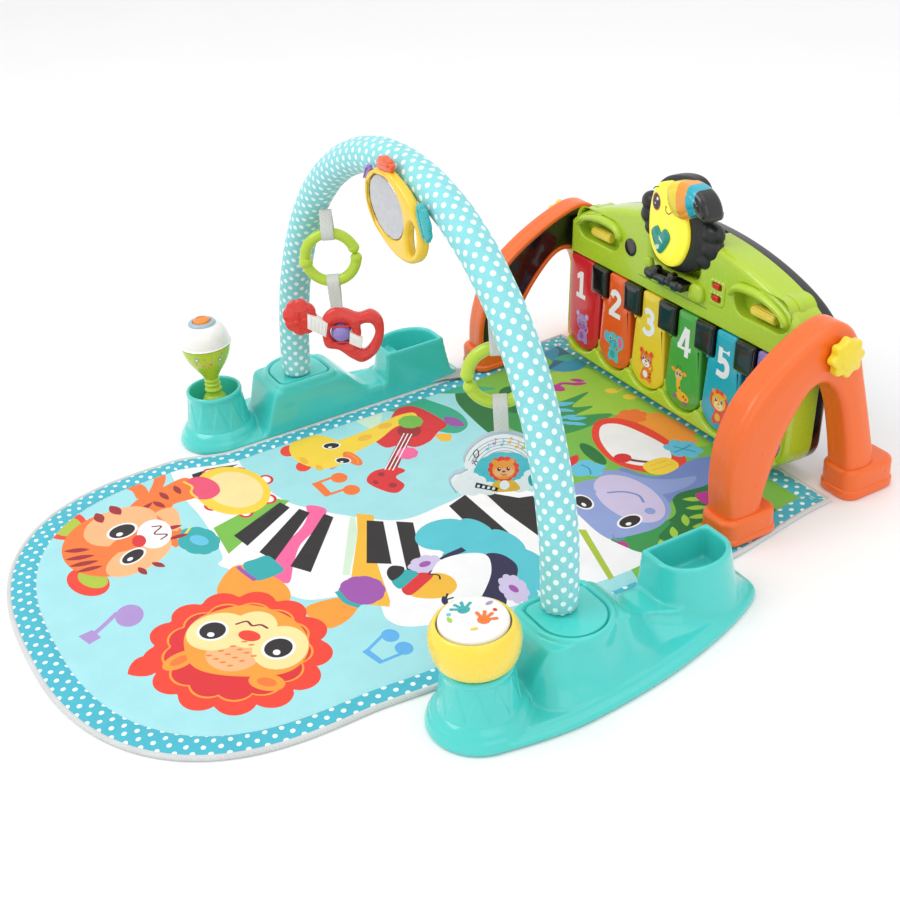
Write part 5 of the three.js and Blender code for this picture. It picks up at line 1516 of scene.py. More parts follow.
class GYM_OT_mirror(bpy.types.Operator):
    """Build the mirror toy that hangs at the arch's top"""
    bl_idname = "gym.build_mirror"
    bl_label = "Mirror toy"

    def execute(self, context):
        at = (stand, turn("Y", 20), shift(39, -3, 389))
        t = np.linspace(0, 2 * np.pi, 160, endpoint=False)
        bumps = 1 + 0.03 * np.clip(np.sin(t * 11), 0, 1) * (np.cos(t - math.radians(165)) > 0.2)
        rim = np.c_[58 * bumps * np.cos(t), 41 * bumps * np.sin(t)]
        slot = spline([(36, -20), (30, -8), (29, 5), (34, 18), (42, 17), (47, 6), (47, -8),
                (42, -18)])
        frame_shape = join(plate(rim, -6, 6, 4.5, holes=[oval(-16, 0, 37, 31, 0, 72), slot],
                steps=6), plate(oval(-16, 0, 38.5, 32.5, 0, 72), -5.4, 1.8, 1, steps=3))
        piece("mirror_rim", moved(frame_shape, *at), MATERIALS["mirror_rim"], "mirror",
            "yellow_plastic", ["mirror_frame"])
        glass = plate(oval(-16, 0, 36.6, 30.6, 0, 72), 2.3, 4.2, 0.6, dome=1.1, reach=30, step=4,
            steps=3)
        piece("mirror_sheet", moved(glass, *at), MATERIALS["mirror"], "mirror", "mirror_film",
            ["mirror_glass"])
        for name, angle, slot_name, node, size in (("orange", 118, "orange_plastic",
                    "mirror_leaf_orange", 1.0), ("teal", 38, "teal_plastic", "mirror_leaf_teal",
                    1.15), ("lilac", 168, "lilac_plastic", None, 0.6)):
            a = math.radians(angle)
            x, y = 58 * 1.1 * math.cos(a), 41 * 1.12 * math.sin(a)
            shape = scallop(x, y, 17 * size, 9.5 * size, 9, 0.10, angle + 90)
            leaf_shape = plate(shape, -3, 3, 2.2, dome=1.4, reach=6, step=2)
            vein = plate(stroke([(x - 12 * size * math.cos(a + 1.571), y - 12 * size
                    * math.sin(a + 1.571)), (x + 12 * size * math.cos(a + 1.571), y + 12 * size
                    * math.sin(a + 1.571))], 1.4), 3.6, 5.2, 0.5, steps=2)
            piece(f"mirror_{name}_tab", moved(join(leaf_shape, vein), *at),
                MATERIALS[f"{name}_leaf"], "mirror", slot_name, [node] if node else ())
        return {"FINISHED"}


# ---- legs -------------------------------------------------------------------------------

# A leg seen from its side, forwards and up from the clamp: the outer curve, then the inner one.
SOLE = -166.0
LEG_OUTER = [(-148, SOLE), (-157, SOLE + 8), (-159, -140), (-157, -106), (-146, -66), (-121, -29),
    (-86, -2), (-44, 20), (-6, 32), (19, 26), (34, 4), (43, -45), (51, -95), (57, -140),
    (56, SOLE + 8), (47, SOLE)]
LEG_INNER = [(26, SOLE), (17, SOLE + 8), (16, -140), (14, -110), (8, -69), (-3, -43), (-22, -31),
    (-45, -40), (-76, -76), (-99, -118), (-109, -142), (-112, SOLE + 8), (-121, SOLE)]


def back(p):
    """A plate turned face for back."""
    return p * np.array([1.0, 1.0, -1.0])


def leg_at(side):
    """Steps from a leg's plate to the gym: stood across, sheared outwards, mirrored on the left."""
    def place(p):
        p = sidewise(p)
        z = p[:, 2] + PIANO_AT[2]
        return np.c_[p[:, 0] + LEG_SPLAY * (PIANO_AT[2] - z), p[:, 1] + PIANO_AT[1], z]
    return (place,) + ((mirror,) if side == "left" else ()) + (shift(PIANO_AT[0], 0, 0),)


class GYM_OT_legs(bpy.types.Operator):
    """Build the two A-shaped legs with their boots and clamp knobs"""
    bl_idname = "gym.build_legs"
    bl_label = "Legs"

    def execute(self, context):
        outline = np.vstack([spline(LEG_OUTER, 8, closed=False), spline(LEG_INNER, 8,
                closed=False)])
        inner = inset(outline, 6.5)
        lobes = np.linspace(0, 2 * np.pi, 160, endpoint=False)
        r = 21.6 + 1.9 * np.cos(8 * lobes)
        grip = plate(np.c_[r * np.cos(lobes), r * np.sin(lobes)], 265.2, 278.2, 3.6, dome=1.6,
            reach=9, step=2.5, steps=6)
        cap = plate(oval(0, 0, 13.5, 13.5, 0, 64), 276, 280.6, 2.2, dome=1.0, reach=10, step=3)
        stud = plate(oval(0, 0, 5, 5, 0, 32), 205, 268, 0.6, steps=2)
        # 262 is the outer face at the clamp's height; the boots reach 7 mm past it at the floor.
        middle = 262 + LEG_SPLAY * 176 + 7 - 29
        for side in ("left", "right"):
            at = leg_at(side)
            wrap = plate(outline, -242, -225.6, 3.0, holes=[inner], steps=4, under=0.4,
                hole_rim=1.4)
            shell = join(plate(outline, 241, 262, 10.5, dome=1.4, reach=10, step=5, steps=8,
                    under=0.4), moved(wrap, back))
            piece(f"{side}_leg_shell", moved(shell, *at), MATERIALS["orange"], "root",
                "orange_plastic", [f"{side}_leg_outer_shell"], sharp=50)
            piece(f"{side}_leg_liner", moved(plate(inset(inner, 0.7), -240.6, -227.4, 2.0, steps=5),
                    back, *at), MATERIALS["black"], "root", "black_plastic",
                [f"{side}_leg_inner_shell"], sharp=50)
            flip = (mirror,) if side == "left" else ()
            place = (sidewise, shift(0, PIANO_AT[1], PIANO_AT[2])) + flip + (shift(PIANO_AT[0], 0,
                    0),)
            piece(f"{side}_knob_grip", moved(join(grip, cap, stud), *place), MATERIALS["knob"],
                f"{side}_knob", "yellow_plastic", [f"{side}_clamp_knob"])
            for name, y, bottom in (("front", 285, 6.9), ("rear", 463, 0.0)):
                boot = join(plate(round_rect(middle - 26, middle + 26, y - 37, y + 37, 16), bottom,
                        37.8, 6.0, steps=6), plate(round_rect(middle - 27.5, middle + 27.5,
                        y - 38.5, y + 38.5, 17), bottom, 13 + bottom / 2, 3.5, steps=4))
                piece(f"{side}_{name}_foot", moved(boot, *(flip + (shift(PIANO_AT[0], 0, 0),))),
                    MATERIALS["orange"], "root", "orange_plastic", [f"{side}_{name}_boot"])
        return {"FINISHED"}


# ---- kick piano -------------------------------------------------------------------------

HALF, BOTTOM, FACE, SEAM, BACK = 220.0, -170.0, 20.0, -21.7, 38.0
KEY_TOP, KEY_LOW, KEY_BOW = -30.0, -160.0, 27.3
KEY_X = (np.arange(6) - 2.5) * KEY_PITCH
ON_PANEL = (stand, on_piano)


def panel(inward=0.0, notch=False):
    """The panel's outline: its top falls as |x|^2.2 to the ends; notch is the bird's seat."""
    half, r = HALF - inward, 34.0 - inward
    t = np.linspace(0, np.pi / 2, 12)
    x = np.linspace(half, -half, 121)
    top = np.c_[x, 70 - 48 * np.abs(x / HALF) ** 2.2 - inward - 8 * np.abs(x / half) ** 12]
    if notch:
        c = np.linspace(0, np.pi / 2, 8)
        seat = np.vstack([[(44, 60)], np.c_[32 + 12 * np.cos(c), 24 - 12 * np.sin(c)],
                np.c_[-32 - 12 * np.sin(c), 24 - 12 * np.cos(c)], [(-44, 60)]])
        top = np.vstack([top[x > 46], seat, top[x < -46]])
    low = BOTTOM + inward
    left = np.c_[-half + r - r * np.cos(t), low + r - r * np.sin(t)]
    right = np.c_[half - r + r * np.sin(t), low + r - r * np.cos(t)]
    return np.vstack([top, left, right])


def rounded(points, r):
    """A polygon whose corners are cut by quadratic arcs that start r away from each corner."""
    p = np.asarray(points, float)
    a, b = np.roll(p, 1, 0) - p, np.roll(p, -1, 0) - p
    la, lb = np.linalg.norm(a, axis=1)[:, None], np.linalg.norm(b, axis=1)[:, None]
    start = p + a / la * np.minimum(r, la * 0.49)
    end = p + b / lb * np.minimum(r, lb * 0.49)
    t = np.linspace(0, 1, 5)[None, :, None]
    return ((1 - t) ** 2 * start[:, None] + 2 * t * (1 - t) * p[:, None] + t ** 2 * end[:,
            None]).reshape(-1, 2)


def key_end(x, grow=0.0):
    """The half-round foot of a long key, from its left side to its right."""
    t = np.linspace(np.pi, 2 * np.pi, 24)
    return np.c_[x + (KEY_WIDTH / 2 + grow) * np.cos(t), KEY_LOW + KEY_BOW
        + (KEY_BOW + grow) * np.sin(t)]


def key_outline(i):
    """A long key: its upper part is narrowed where a short black key stands beside it."""
    x, half, neck = KEY_X[i], KEY_WIDTH / 2, KEY_PITCH / 2 - 18.0
    right = [(x + neck, KEY_TOP)] if i < 5 else [(x + half, KEY_TOP)]
    left = [(x - neck, KEY_TOP)] if i > 0 else [(x - half, KEY_TOP)]
    if i < 5:
        right = [(x + half, -69), (x + neck, -69)] + right
    if i > 0:
        left += [(x - neck, -69), (x - half, -69)]
    corners = rounded(right + left, 5.0)
    return np.vstack([corners, key_end(x)[1:-1]]) if i in (1, 2, 3,
        4) else np.vstack([rounded(right + left + [(x - half, KEY_LOW + KEY_BOW + 8),
            (x + half, KEY_LOW + KEY_BOW + 8)], 5.0)[:-10], key_end(x)[1:-1]])


def on_swell(outline, high, rim, dome, reach):
    """A place on a domed plate of the panel, from the same swell as the plate's own top."""
    inner = inset(outline, rim)
    return lambda x, y, h: on_piano(stand(np.c_[x, y, high + swell(np.c_[x, y], inner, dome, reach)
            + h]))


def cut_between(shape, start, end, normal):
    """The part of a closed shape between two parallel planes, with its cut ends filled."""
    b = bmesh.new()
    made = [b.verts.new(p) for p in shape[0]]
    for a, c, d in shape[1]:
        b.faces.new((made[a], made[c], made[d]))
    bmesh.ops.remove_doubles(b, verts=b.verts, dist=0.004)
    for point, sign in ((start, -1), (end, 1)):
        way = Vector(normal) * sign
        cut = bmesh.ops.bisect_plane(b, geom=b.verts[:] + b.edges[:] + b.faces[:], dist=1e-4,
            plane_co=Vector(point), plane_no=way, clear_outer=True)
        edges = [g for g in cut["geom_cut"] if isinstance(g, bmesh.types.BMEdge)]
        bmesh.ops.holes_fill(b, edges=edges, sides=0)
    bmesh.ops.triangulate(b, faces=b.faces[:])
    b.verts.index_update()
    points = np.array([tuple(v.co) for v in b.verts])
    tris = np.array([[v.index for v in f.verts] for f in b.faces])
    b.free()
    return points, tris


def numeral(n):
    """Figures 1 to 6 from thick strokes, one unit tall, standing on y = 0."""
    w = 0.21
    return {1: [np.array([(-0.24, 0.68), (-0.24, 0.86), (-0.06, 1), (0.12, 1), (0.12, 0.17),
            (0.28, 0.17), (0.28, 0), (-0.26, 0), (-0.26, 0.17), (-0.09, 0.17), (-0.09, 0.76)])],
        2: [stroke([(-0.22, 0.70), (-0.14, 0.86), (0.03, 0.9), (0.19, 0.78), (0.17, 0.58),
            (0.0, 0.38), (-0.22, 0.12)], w), np.array([(-0.33, 0), (0.32, 0), (0.32, 0.18),
            (-0.33, 0.18)])], 3: [stroke([(-0.24, 0.8), (-0.04, 0.9), (0.17, 0.79), (0.12, 0.6),
            (-0.08, 0.54)], w * 0.92), stroke([(-0.08, 0.54), (0.16, 0.48), (0.22, 0.27),
            (0.06, 0.11), (-0.14, 0.1), (-0.27, 0.2)], w * 0.92)],
        4: [stroke([(0.06, 1.0), (-0.24, 0.3)], w * 0.9), np.array([(-0.34, 0.22), (0.32, 0.22),
            (0.32, 0.39), (-0.34, 0.39)]), np.array([(0.03, 0), (0.22, 0), (0.22, 1), (0.03, 1)])],
        5: [np.array([(-0.22, 0.83), (0.26, 0.83), (0.26, 1), (-0.22, 1)]),
            np.array([(-0.24, 0.46), (-0.05, 0.46), (-0.05, 1), (-0.24, 1)]),
            stroke([(-0.18, 0.55), (0.04, 0.6), (0.2, 0.46), (0.2, 0.22), (0.04, 0.1),
            (-0.26, 0.13)], w)], 6: [stroke([(0.2, 0.88), (0.0, 0.9), (-0.18, 0.7), (-0.22, 0.42),
            (-0.16, 0.18), (0.02, 0.1), (0.19, 0.2), (0.21, 0.4), (0.06, 0.53), (-0.14, 0.44)],
            w * 0.95)],}[n]


def creature(i):
    """A small printed animal about 40 mm tall, standing on y = 0: body, head, ears and a face."""
    body, ear, face, mark = [("lilac", "mauve", "violet", "blue"), ("cloud", "pink", "teal", "sky"),
        ("orange", "scarlet", "white", "maroon"), ("mustard", "amber", "sand", "brown"),
        ("scarlet", "amber", "mustard", "orange"), ("orange", "sand", "skin", "brown")][i]
    a = []
    if i == 3:
        a += [(body, stroke([(2, 6), (-4, 16), (-5, 30)], 7)), (body, oval(4, 7, 11, 6)),
            (ear, leaf(-10, 34, 9, 5, 170)), (ear, leaf(0, 34, 9, 5, 10)),
            (body, oval(-5, 31, 6.4, 7)), (face, oval(-5, 27.4, 5, 3)),
            (mark, stroke([(-8, 38), (-8, 42)], 1.4)), (mark, stroke([(-3, 38), (-3, 42)], 1.4)),
            (mark, oval(6, 8, 1.6, 1.4)), (mark, oval(10, 6, 1.4, 1.2)),
            (mark, oval(-2, 16, 1.2, 1.6)), ("violet", leaf(-13, 2, 9, 4, 20)),
            ("violet", leaf(5, 1, 8, 4, -10))]
        eyes = ((-7.4, 32), (-2.4, 32))
    else:
        a += [(body, oval(2, 9, 9, 8)), (body, oval(-5, 4, 4, 5)), (body, oval(8, 4, 4, 5)),
            (body, stroke([(8, 12), (12, 18), (11, 23)], 2.6)), (face, oval(0, 8, 4.4, 4.6))]
        if i == 1:
            a += [(ear, oval(-12, 27, 7, 8)), (body, oval(-12, 27, 5.4, 6.6)),
                (body, oval(13, 27, 7.4, 9)), (ear, oval(13, 27, 5, 6.6))]
        elif i == 4:
            a += [(body, scallop(0, 27, 15, 14, 12, 0.14)), (ear, oval(-9, 36, 3, 3)),
                (ear, oval(9, 36, 3, 3))]
        else:
            a += [(body, oval(-9, 35, 4, 4)), (body, oval(9, 35, 4, 4)),
                (ear, oval(-9, 35, 2.4, 2.4)), (ear, oval(9, 35, 2.4, 2.4))]
        head = face if i == 4 else body
        a += [(head, oval(0, 26, 11, 10)), (face if i != 4 else "cream", oval(0, 21.6, 7, 4.6)),
            (mark, oval(0, 24, 2, 1.3)), (mark, stroke([(-3, 20.6), (0, 19.4), (3, 20.6)], 0.8))]
        if i == 1:
            a.append((body, stroke([(0, 24), (-1, 16), (-7, 12)], 4)))
        if i == 2:
            a += [(mark, leaf(x, y, 6, 2, t)) for x, y, t in ((0, 32, 90), (-10, 25, 0), (4, 25, 0),
                    (6, 10, 20), (5, 6, 10))]
        eyes = ((-4.6, 27.4), (4.6, 27.4))
    for x, y in eyes:
        a += [("white", oval(x, y, 2.3, 2.7)), ("black", oval(x, y, 1.8, 2.2)),
            ("white", oval(x + 0.6, y + 0.7, 0.6, 0.7))]
    return [(colour, loop * 1.12) for colour, loop in a]


class GYM_OT_piano(bpy.types.Operator):
    """Build the tilting panel with its rollers, switches, back cover and badge"""
    bl_idname = "gym.build_piano"
    bl_label = "Kick piano"

    def execute(self, context):
        ends = np.vstack([key_end(x, 1.0) for x in KEY_X])
        bay = np.vstack([[(-213.4, -28.6), (213.4, -28.6)], ends[::-1]])
        recess = [round_rect(s * 156 - 46, s * 156 + 46, -1, 39, 18) for s in (-1, 1)]
        slots = [round_rect(72.4, 89.6, z - 3.9, z + 3.9, 2) for z in (20, 5)]
        front = plate(panel(notch=True), SEAM, FACE, 9.0, holes=[bay] + recess + slots, steps=7,
            under=0.5, hole_rim=2.6)
        floor_ = plate(panel(3.5), SEAM + 1, -1.6, 2.0, steps=2)
        wells = [plate(round_rect(s * 156 - 47, s * 156 + 47, -2, 40, 18), -4, 4.0, 0.5, steps=2)
            for s in (-1, 1)]
        brow = np.array([(-47, 12), (-42, 23), (-26, 32), (4, 39), (36, 38), (51, 27), (49, 18),
                (36, 27), (4, 29), (-26, 23), (-38, 15)], float)
        hoods = [plate(spline(brow * (-s, 1) + (s * 156, 0), 6), 10, 27.5, 5.5, dome=1.5, reach=5,
                step=3) for s in (-1, 1)]
        x = np.linspace(207, -207, 180)
        nearest = np.abs(x[:, None] - KEY_X[None]).min(1)
        curve = KEY_LOW + KEY_BOW - (KEY_BOW + 1.4) * np.sqrt(np.clip(1 - (nearest / 35.7) ** 2, 0,
                1))
        lip = np.vstack([np.c_[x, np.minimum(curve, -147)], [(-209, -158), (-200, -168.6)],
                [(200, -168.6), (209, -158)]])
        ledge = plate(lip, 6, 27, 3.4, steps=5, under=0.5)
        switch_plate = plate(round_rect(66, 96, -4, 29, 7), 17, 21.4, 1.6, holes=slots, steps=3)
        shelf = [plate(spline([(38, -9), (37, 6), (46, 13), (58, 10), (62, -2), (56, -10)]), 16, 27,
                4.5, step=3, dome=1, reach=5), plate(spline([(-52, 2), (-53, 14), (-44, 16),
                (-38, 8), (-40, -2)]), 16, 25, 4, step=3, dome=1, reach=5)]
        piece("piano_front", moved(join(front, floor_, *wells, *hoods, ledge, switch_plate, *shelf),
                *ON_PANEL), MATERIALS["lime"], "piano", "lime_plastic", ["piano_front_shell"],
            sharp=42)
        # No groove is cut in the face: a thin strip of darker lime lies on it, painted shade where
        # the groove runs.
        piece("piano_groove", moved(plate(round_rect(-66, 67, -14.3, -13.0, 0.6), 19.6, 20.15, 0.1,
                steps=2), *ON_PANEL), MATERIALS["groove_shade"], "piano", "lime_plastic")
        door = round_rect(-61.7, 61.7, -103.7, -36.3, 6)
        cover = plate(panel(0.4), 22.0, BACK, 5.5, holes=[round_rect(-62.4, 62.4, -104.4, -35.6,
                6)], steps=6, under=0.5, hole_rim=0.6)
        lining = plate(panel(7), 22.2, 30.0, 1.0, holes=[round_rect(-62, 62, -104, -36, 6)],
            steps=2)
        piece("piano_back", moved(join(cover, lining), back, *ON_PANEL), MATERIALS["black"],
            "piano", "black_plastic", ["piano_back_cover"], sharp=42)
        lid = join(plate(door, 34.6, 37.7, 0.9, steps=3), plate(oval(0, -45, 4, 4), 37, 38.0, 0.4,
                steps=2), *[plate(round_rect(-30, 30, z - 1, z + 1, 0.9), 37.2, 38.2, 0.5, steps=2)
                for z in (-84, -78, -72)])
        piece("piano_door", moved(lid, back, *ON_PANEL), MATERIALS["black"], "piano",
            "black_plastic", ["battery_door"])
        vents = [plate(round_rect(-144, -96, z - 1.2, z + 1.2, 1.1), 37.4, 38.15, 0.3, steps=2)
            for z in range(-82, -37, 6)]
        piece("piano_vents", moved(join(*vents), back, *ON_PANEL), MATERIALS["under"], "piano",
            "black_plastic")
        badge = plate(oval(-86, 16, 11.5, 11.5, 0, 56), 19.2, 21.4, 1.2, dome=0.5, reach=9,
            step=2.5)
        piece("piano_badge", moved(badge, *ON_PANEL), MATERIALS["black"], "piano", "black_plastic")
        t = np.linspace(0, 2 * np.pi, 96, endpoint=False)
        for side, s in (("left", -1), ("right", 1)):
            u = np.array([-20, -19.6, -18.6, -17.5, 17.5, 18.6, 19.6, 20])
            grow = np.array([-2.2, -1.1, -0.4, 0, 0, -0.4, -1.1, -2.2])
            r = 6.7 + grow[:, None] + 0.28 * np.cos(16 * t)
            tube = capped(np.stack([np.repeat(u[:, None], 96, 1) + s * 156, r * np.cos(t) + 10,
                    11.5 + r * np.sin(t)], -1))
            piece(f"{side}_roller_drum", moved(tube, *ON_PANEL), MATERIALS["yellow"],
                f"roller_{side[0]}", "yellow_plastic", [f"{side}_roller"])
        for name, z in (("volume", 20), ("mode", 5)):
            nub = plate(round_rect(76, 86, z - 3.4, z + 3.4, 1.6), 15.2, 22.5, 1.2, steps=3)
            ribs = [plate(round_rect(77 + 2.6 * k, 78.2 + 2.6 * k, z - 2.6, z + 2.6, 0.5), 22, 23.2,
                    0.4, steps=2) for k in range(4)]
            piece(f"{name}_nub", moved(join(nub, *ribs), *ON_PANEL), MATERIALS["red"], name,
                "red_plastic", [f"{name}_switch"])
        marks = [("white", stroke([(72 + 6 * k, 25.6), (74 + 6 * k, 27.2)], 0.9)) for k in range(4)]
        marks += [("white", oval(73 + 6 * k, 11.4, 0.9, 0.9, 0, 12)) for k in range(4)]
        artwork("switch_print", marks, lambda x, y, h: on_piano(stand(np.c_[x, y, 21.42 + h])),
            "piano", "white_plastic")
        return {"FINISHED"}


class GYM_OT_keys(bpy.types.Operator):
    """Build the six long keys with their figures and animals, and the five black keys"""
    bl_idname = "gym.build_keys"
    bl_label = "Keys"

    def execute(self, context):
        for i in range(6):
            outline = ccw(key_outline(i))
            body = f"key_{i + 1}_body"
            blank = plate(outline, 9, 22, 3.2, dome=1.3, reach=12, step=3.5, steps=6, under=1.0)
            slot = ("red", "orange", "yellow", "green", "turquoise", "lilac")[i] + "_plastic"
            piece(f"key_{i + 1}_cap", moved(blank, *ON_PANEL), MATERIALS[f"key_{i + 1}"], body,
                slot, [f"key_{i + 1}"])
            place = on_swell(outline, 22, 3.2, 1.3, 12)
            side = {0: -6, 5: 6}.get(i, 0)
            art = [("white", loop * 38 + (KEY_X[i] + side, -87)) for loop in numeral(i + 1)]
            art += [(colour, loop + (KEY_X[i], -149)) for colour, loop in creature(i)]
            artwork(f"key_{i + 1}_print", art, place, body, slot, lift=0.07,
                step=3)
        caps = [plate(round_rect(x - 16, x + 16, -67, -29, 3.5), 3, 27, 3.4, dome=0.6, reach=8,
                step=3, steps=5, under=0.5) for x in KEY_X[1:] - KEY_PITCH / 2]
        bar = plate(round_rect(-185, 185, -64, -36, 2), 0.4, 6.4, 0.5, steps=2)
        piece("short_keys", moved(join(bar, *caps), *ON_PANEL), MATERIALS["black"], "piano",
            "black_plastic", ["black_keys"])
        return {"FINISHED"}


class GYM_OT_bird(bpy.types.Operator):
    """Build the lit bird on its perch, with its heart button"""
    bl_idname = "gym.build_bird"
    bl_label = "Bird"

    def execute(self, context):
        body = spline([(2, 15), (-24, 18), (-38, 32), (-43, 55), (-44, 80), (-42, 104), (-25, 124),
                (4, 134), (28, 134), (42, 122), (46, 100), (54, 84), (58, 62), (50, 36), (28, 19)])
        lobes = [(-56, 84, 16, 13), (-56, 68, 16, 14), (-48, 54, 14, 12), (58, 76, 18, 14),
            (60, 59, 18, 15), (51, 43, 17, 13)]
        shape = melt("bird_trunk", join(plate(body, 2, 26, 6, dome=2.0, reach=18, step=3, steps=8),
                *[moved(ball(x, z, 14, a, b, 12, 44)) for x, z, a, b in lobes]), 1.1, 8)
        piece("bird_trunk", moved(shape, *ON_PANEL), MATERIALS["soft_black"], "piano",
            "black_plastic", ["bird_body"])
        belly = spline([(-28, 115), (-36, 96), (-38, 70), (-34, 46), (-20, 28), (0, 22), (18, 27),
                (30, 42), (36, 62), (32, 84), (18, 104), (0, 124), (-14, 123)])
        piece("bird_front", moved(plate(belly, 22, 34, 4, dome=2.2, reach=14, step=2.5, steps=6),
                *ON_PANEL), MATERIALS["glow_yellow"], "piano", "yellow_plastic", ["bird_belly"])
        beak = spline([(2, 126), (20, 133), (42, 133), (60, 127), (72, 115), (76, 100), (66, 98),
                (54, 102), (43, 94), (30, 89), (14, 91), (4, 101), (-1, 114)])
        whole = plate(beak, 12, 43, 8, dome=3.0, reach=12, step=1.6, steps=8)
        for name, low, high, colour, slot in (("root", -99, 25, "knob", "yellow_plastic"),
                ("orange", 25, 42, "amber", "orange_plastic"), ("teal", 42, 56, "key_5",
                    "turquoise_plastic"), ("tip", 56, 99, "black", "black_plastic")):
            slice_ = cut_between(whole, (low, 112, 0), (high, 112, 0), (1, 0.16, 0))
            piece(f"beak_{name}", moved(slice_, *ON_PANEL), MATERIALS[colour], "piano", slot,
                ["bird_beak"] if name == "root" else ())
        perch = join(plate(round_rect(-37, 37, -1.8, 9.8, 4.5), 18, 38, 4, step=4, steps=5),
            *[plate(round_rect(x - 5, x + 5, 3, 17, 4), 26, 38.6, 3.6, step=3) for x in (-16, 14)],
            *[plate(round_rect(x - 6, x + 6, -1.4, 9.4, 2), 37, 38.8, 0.8, steps=3) for x in (-24,
                0, 24)])
        piece("perch_bar", moved(perch, *ON_PANEL), MATERIALS["black"], "piano", "black_plastic",
            ["bird_perch"])
        unit = np.array([(0, 0.55), (0.45, 0.95), (1, 0.45), (0.62, -0.4), (0, -1), (-0.62, -0.4),
                (-1, 0.45), (-0.45, 0.95)])
        heart = spline(unit * 17 + (-8, 53))
        piece("heart_pad", moved(plate(heart, 31.3, 39.1, 1.6, dome=0.8, reach=7, step=2),
                *ON_PANEL), MATERIALS["teal"], "heart", "teal_plastic", ["heart_button"])
        artwork("heart_print", [("pale", loop) for _, loop in notes(-11, 44, 15, 0, "pale",
                pair=False)], on_swell(heart, 39.1, 1.6, 0.8, 7), "heart", "teal_plastic",
            lift=0.08, step=2)
        on_belly, on_beak = on_swell(belly, 34, 4, 2.2, 14), on_swell(beak, 43, 8, 3.0, 12)
        eye_art = [("mustard", oval(-22, 97, 9, 11.5, 10)), ("maroon", oval(-22, 97, 7.8, 10.2,
                10)), ("black", oval(-22, 97, 6.8, 9, 10)), ("white", oval(-20, 101, 1.8, 2.2)),
            ("white", oval(-24, 94.6, 0.9, 1.1)),
            ("black", stroke([(-30, 110), (-26, 114), (-20, 115)], 1.2)),
            ("black", stroke([(-30, 106), (-33, 108)], 1.0))]
        artwork("bird_eye", eye_art, on_belly, "piano", "yellow_plastic", lift=0.1, step=2)
        smile = [("maroon", stroke([(8, 100), (9, 95), (14, 93), (18, 96)], 1.5)),
            ("maroon", stroke([(6, 101), (10, 100)], 1.0))]
        artwork("bird_smile", smile, on_beak, "piano", "yellow_plastic", lift=0.1, step=1.5)
        return {"FINISHED"}


# ---- what the frame itself shows, and the stage -----------------------------------------


class GYM_OT_inner_parts(bpy.types.Operator):
    """Give the frame's own hidden parts their finishes"""
    bl_idname = "gym.finish_inner_parts"
    bl_label = "Inner parts"

    def execute(self, context):
        finishes = {"left_base_underplate": "under", "right_base_underplate": "under",
            "arch_tube": "pale_core", "battery_pack": "under", "circuit_board": "board",
            "speaker": "under"}
        for node, name in finishes.items():
            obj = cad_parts[node]
            for k in range(len(obj.material_slots)):
                obj.material_slots[k].material = MATERIALS[name]
        return {"FINISHED"}


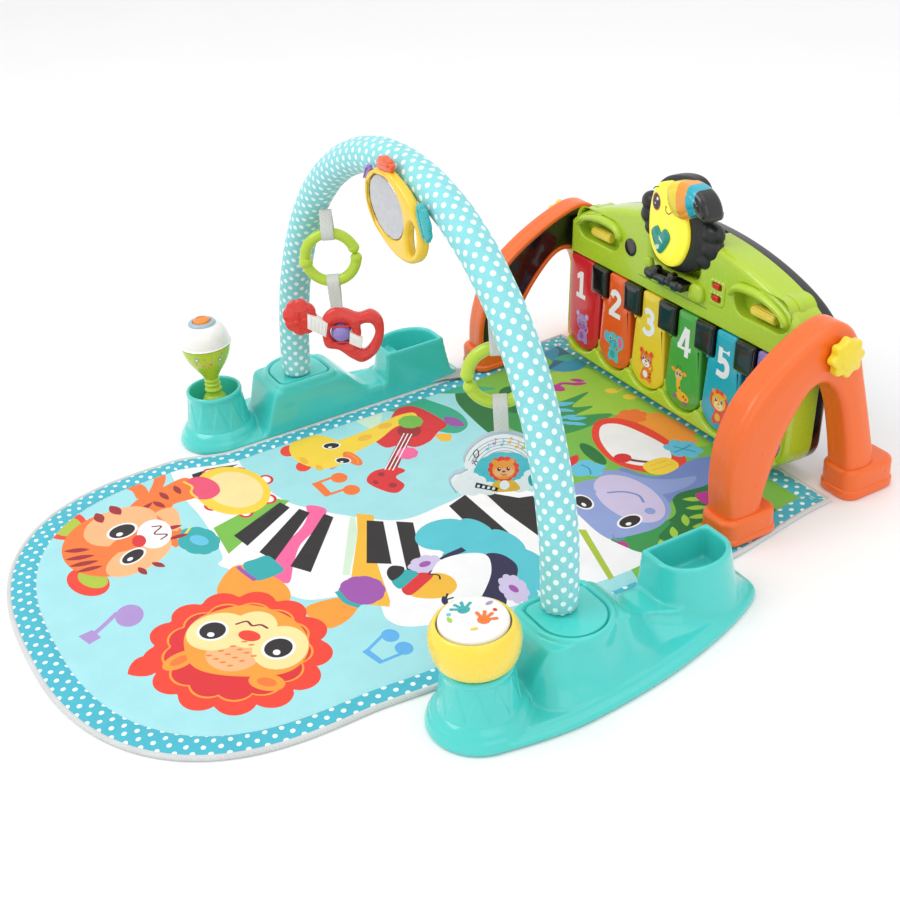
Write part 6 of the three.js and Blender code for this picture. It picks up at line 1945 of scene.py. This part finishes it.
class GYM_OT_stage(bpy.types.Operator):
    """Set the pale floor, the soft lights, the background and the camera"""
    bl_idname = "gym.build_stage"
    bl_label = "Stage"

    def execute(self, context):
        floor = bpy.data.objects.new("floor", new_mesh("floor", np.array([(-9000, -9000, 0),
                (9000, -9000, 0), (9000, 9000, 0), (-9000, 9000, 0)], float),
                np.array([(0, 1, 2), (0, 2, 3)])))
        floor.data.materials.append(MATERIALS["floor"])
        context.scene.collection.objects.link(floor)
        world = bpy.data.worlds.new("studio")
        world.use_nodes = True
        sky = world.node_tree.nodes["Background"]
        sky.inputs["Color"].default_value, sky.inputs["Strength"].default_value = (1.0, 1.0, 1.0,
            1), 0.92
        context.scene.world = world
        target = Vector((0, 0.05, 0.1))
        for name, at, size, power in (("key", (-0.6, -1.9, 2.6), 1.8, 30),
                ("fill", (2.6, -0.2, 1.9), 2.2, 9), ("top", (0.2, 0.6, 3.0), 2.4, 12)):
            data = bpy.data.lights.new(name, "AREA")
            data.size, data.energy = size, power
            light = bpy.data.objects.new(name, data)
            light.location = at
            light.rotation_euler = (target - light.location).to_track_quat("-Z", "Y").to_euler()
            context.scene.collection.objects.link(light)
        yaw, pitch, roll = CAMERA_TURN
        ahead = Vector((math.cos(pitch) * math.sin(yaw), math.cos(pitch) * math.cos(yaw),
                math.sin(pitch)))
        side = ahead.cross(Vector((0, 0, 1))).normalized()
        up = side.cross(ahead)
        right = side * math.cos(roll) + up * math.sin(roll)
        up = up * math.cos(roll) - side * math.sin(roll)
        data = bpy.data.cameras.new("camera")
        data.lens, data.sensor_width, data.clip_end = CAMERA_LENS, 36.0, 60.0
        camera = bpy.data.objects.new("camera", data)
        camera.matrix_world = Matrix([(right[k], up[k], -ahead[k], CAMERA_AT[k]) for k in range(3)]
            + [(0, 0, 0, 1)])
        context.scene.collection.objects.link(camera)
        context.scene.camera = camera
        context.scene.view_settings.view_transform = "Standard"
        return {"FINISHED"}


BUILDERS = (GYM_OT_stage, GYM_OT_mat, GYM_OT_bases, GYM_OT_arch, GYM_OT_cup_toys,
    GYM_OT_hanging_toys, GYM_OT_mirror, GYM_OT_legs, GYM_OT_piano, GYM_OT_keys, GYM_OT_bird,
    GYM_OT_inner_parts)
SETTINGS = (GymMatSettings, GymSleeveSettings, GymPlasticSettings)


class VIEW3D_PT_play_gym(bpy.types.Panel):
    """Sidebar panel with the gym's settings and one button for each group of pieces"""
    bl_label = "Activity play gym"
    bl_idname = "VIEW3D_PT_play_gym"
    bl_space_type = "VIEW_3D"
    bl_region_type = "UI"
    bl_category = "Play gym"

    def draw(self, context):
        scene = context.scene
        for title, group in (("Mat", scene.gym_mat), ("Sleeve", scene.gym_sleeve),
                ("Plastics", scene.gym_plastics)):
            box = self.layout.box()
            box.label(text=title)
            for name in group.__annotations__:
                box.prop(group, name)
        for builder in BUILDERS:
            self.layout.operator(builder.bl_idname)


def register():
    for cls in SETTINGS + BUILDERS + (VIEW3D_PT_play_gym,):
        bpy.utils.register_class(cls)
    bpy.types.Scene.gym_mat = PointerProperty(type=GymMatSettings)
    bpy.types.Scene.gym_sleeve = PointerProperty(type=GymSleeveSettings)
    bpy.types.Scene.gym_plastics = PointerProperty(type=GymPlasticSettings)


def unregister():
    del bpy.types.Scene.gym_plastics
    del bpy.types.Scene.gym_sleeve
    del bpy.types.Scene.gym_mat
    for cls in reversed(SETTINGS + BUILDERS + (VIEW3D_PT_play_gym,)):
        bpy.utils.unregister_class(cls)


def main():
    register()
    make_materials()
    for builder in BUILDERS:
        group, name = builder.bl_idname.split(".")
        if getattr(getattr(bpy.ops, group), name)() != {"FINISHED"}:
            raise RuntimeError(builder.bl_label + " was not built")


if __name__ == "__main__":
    main()
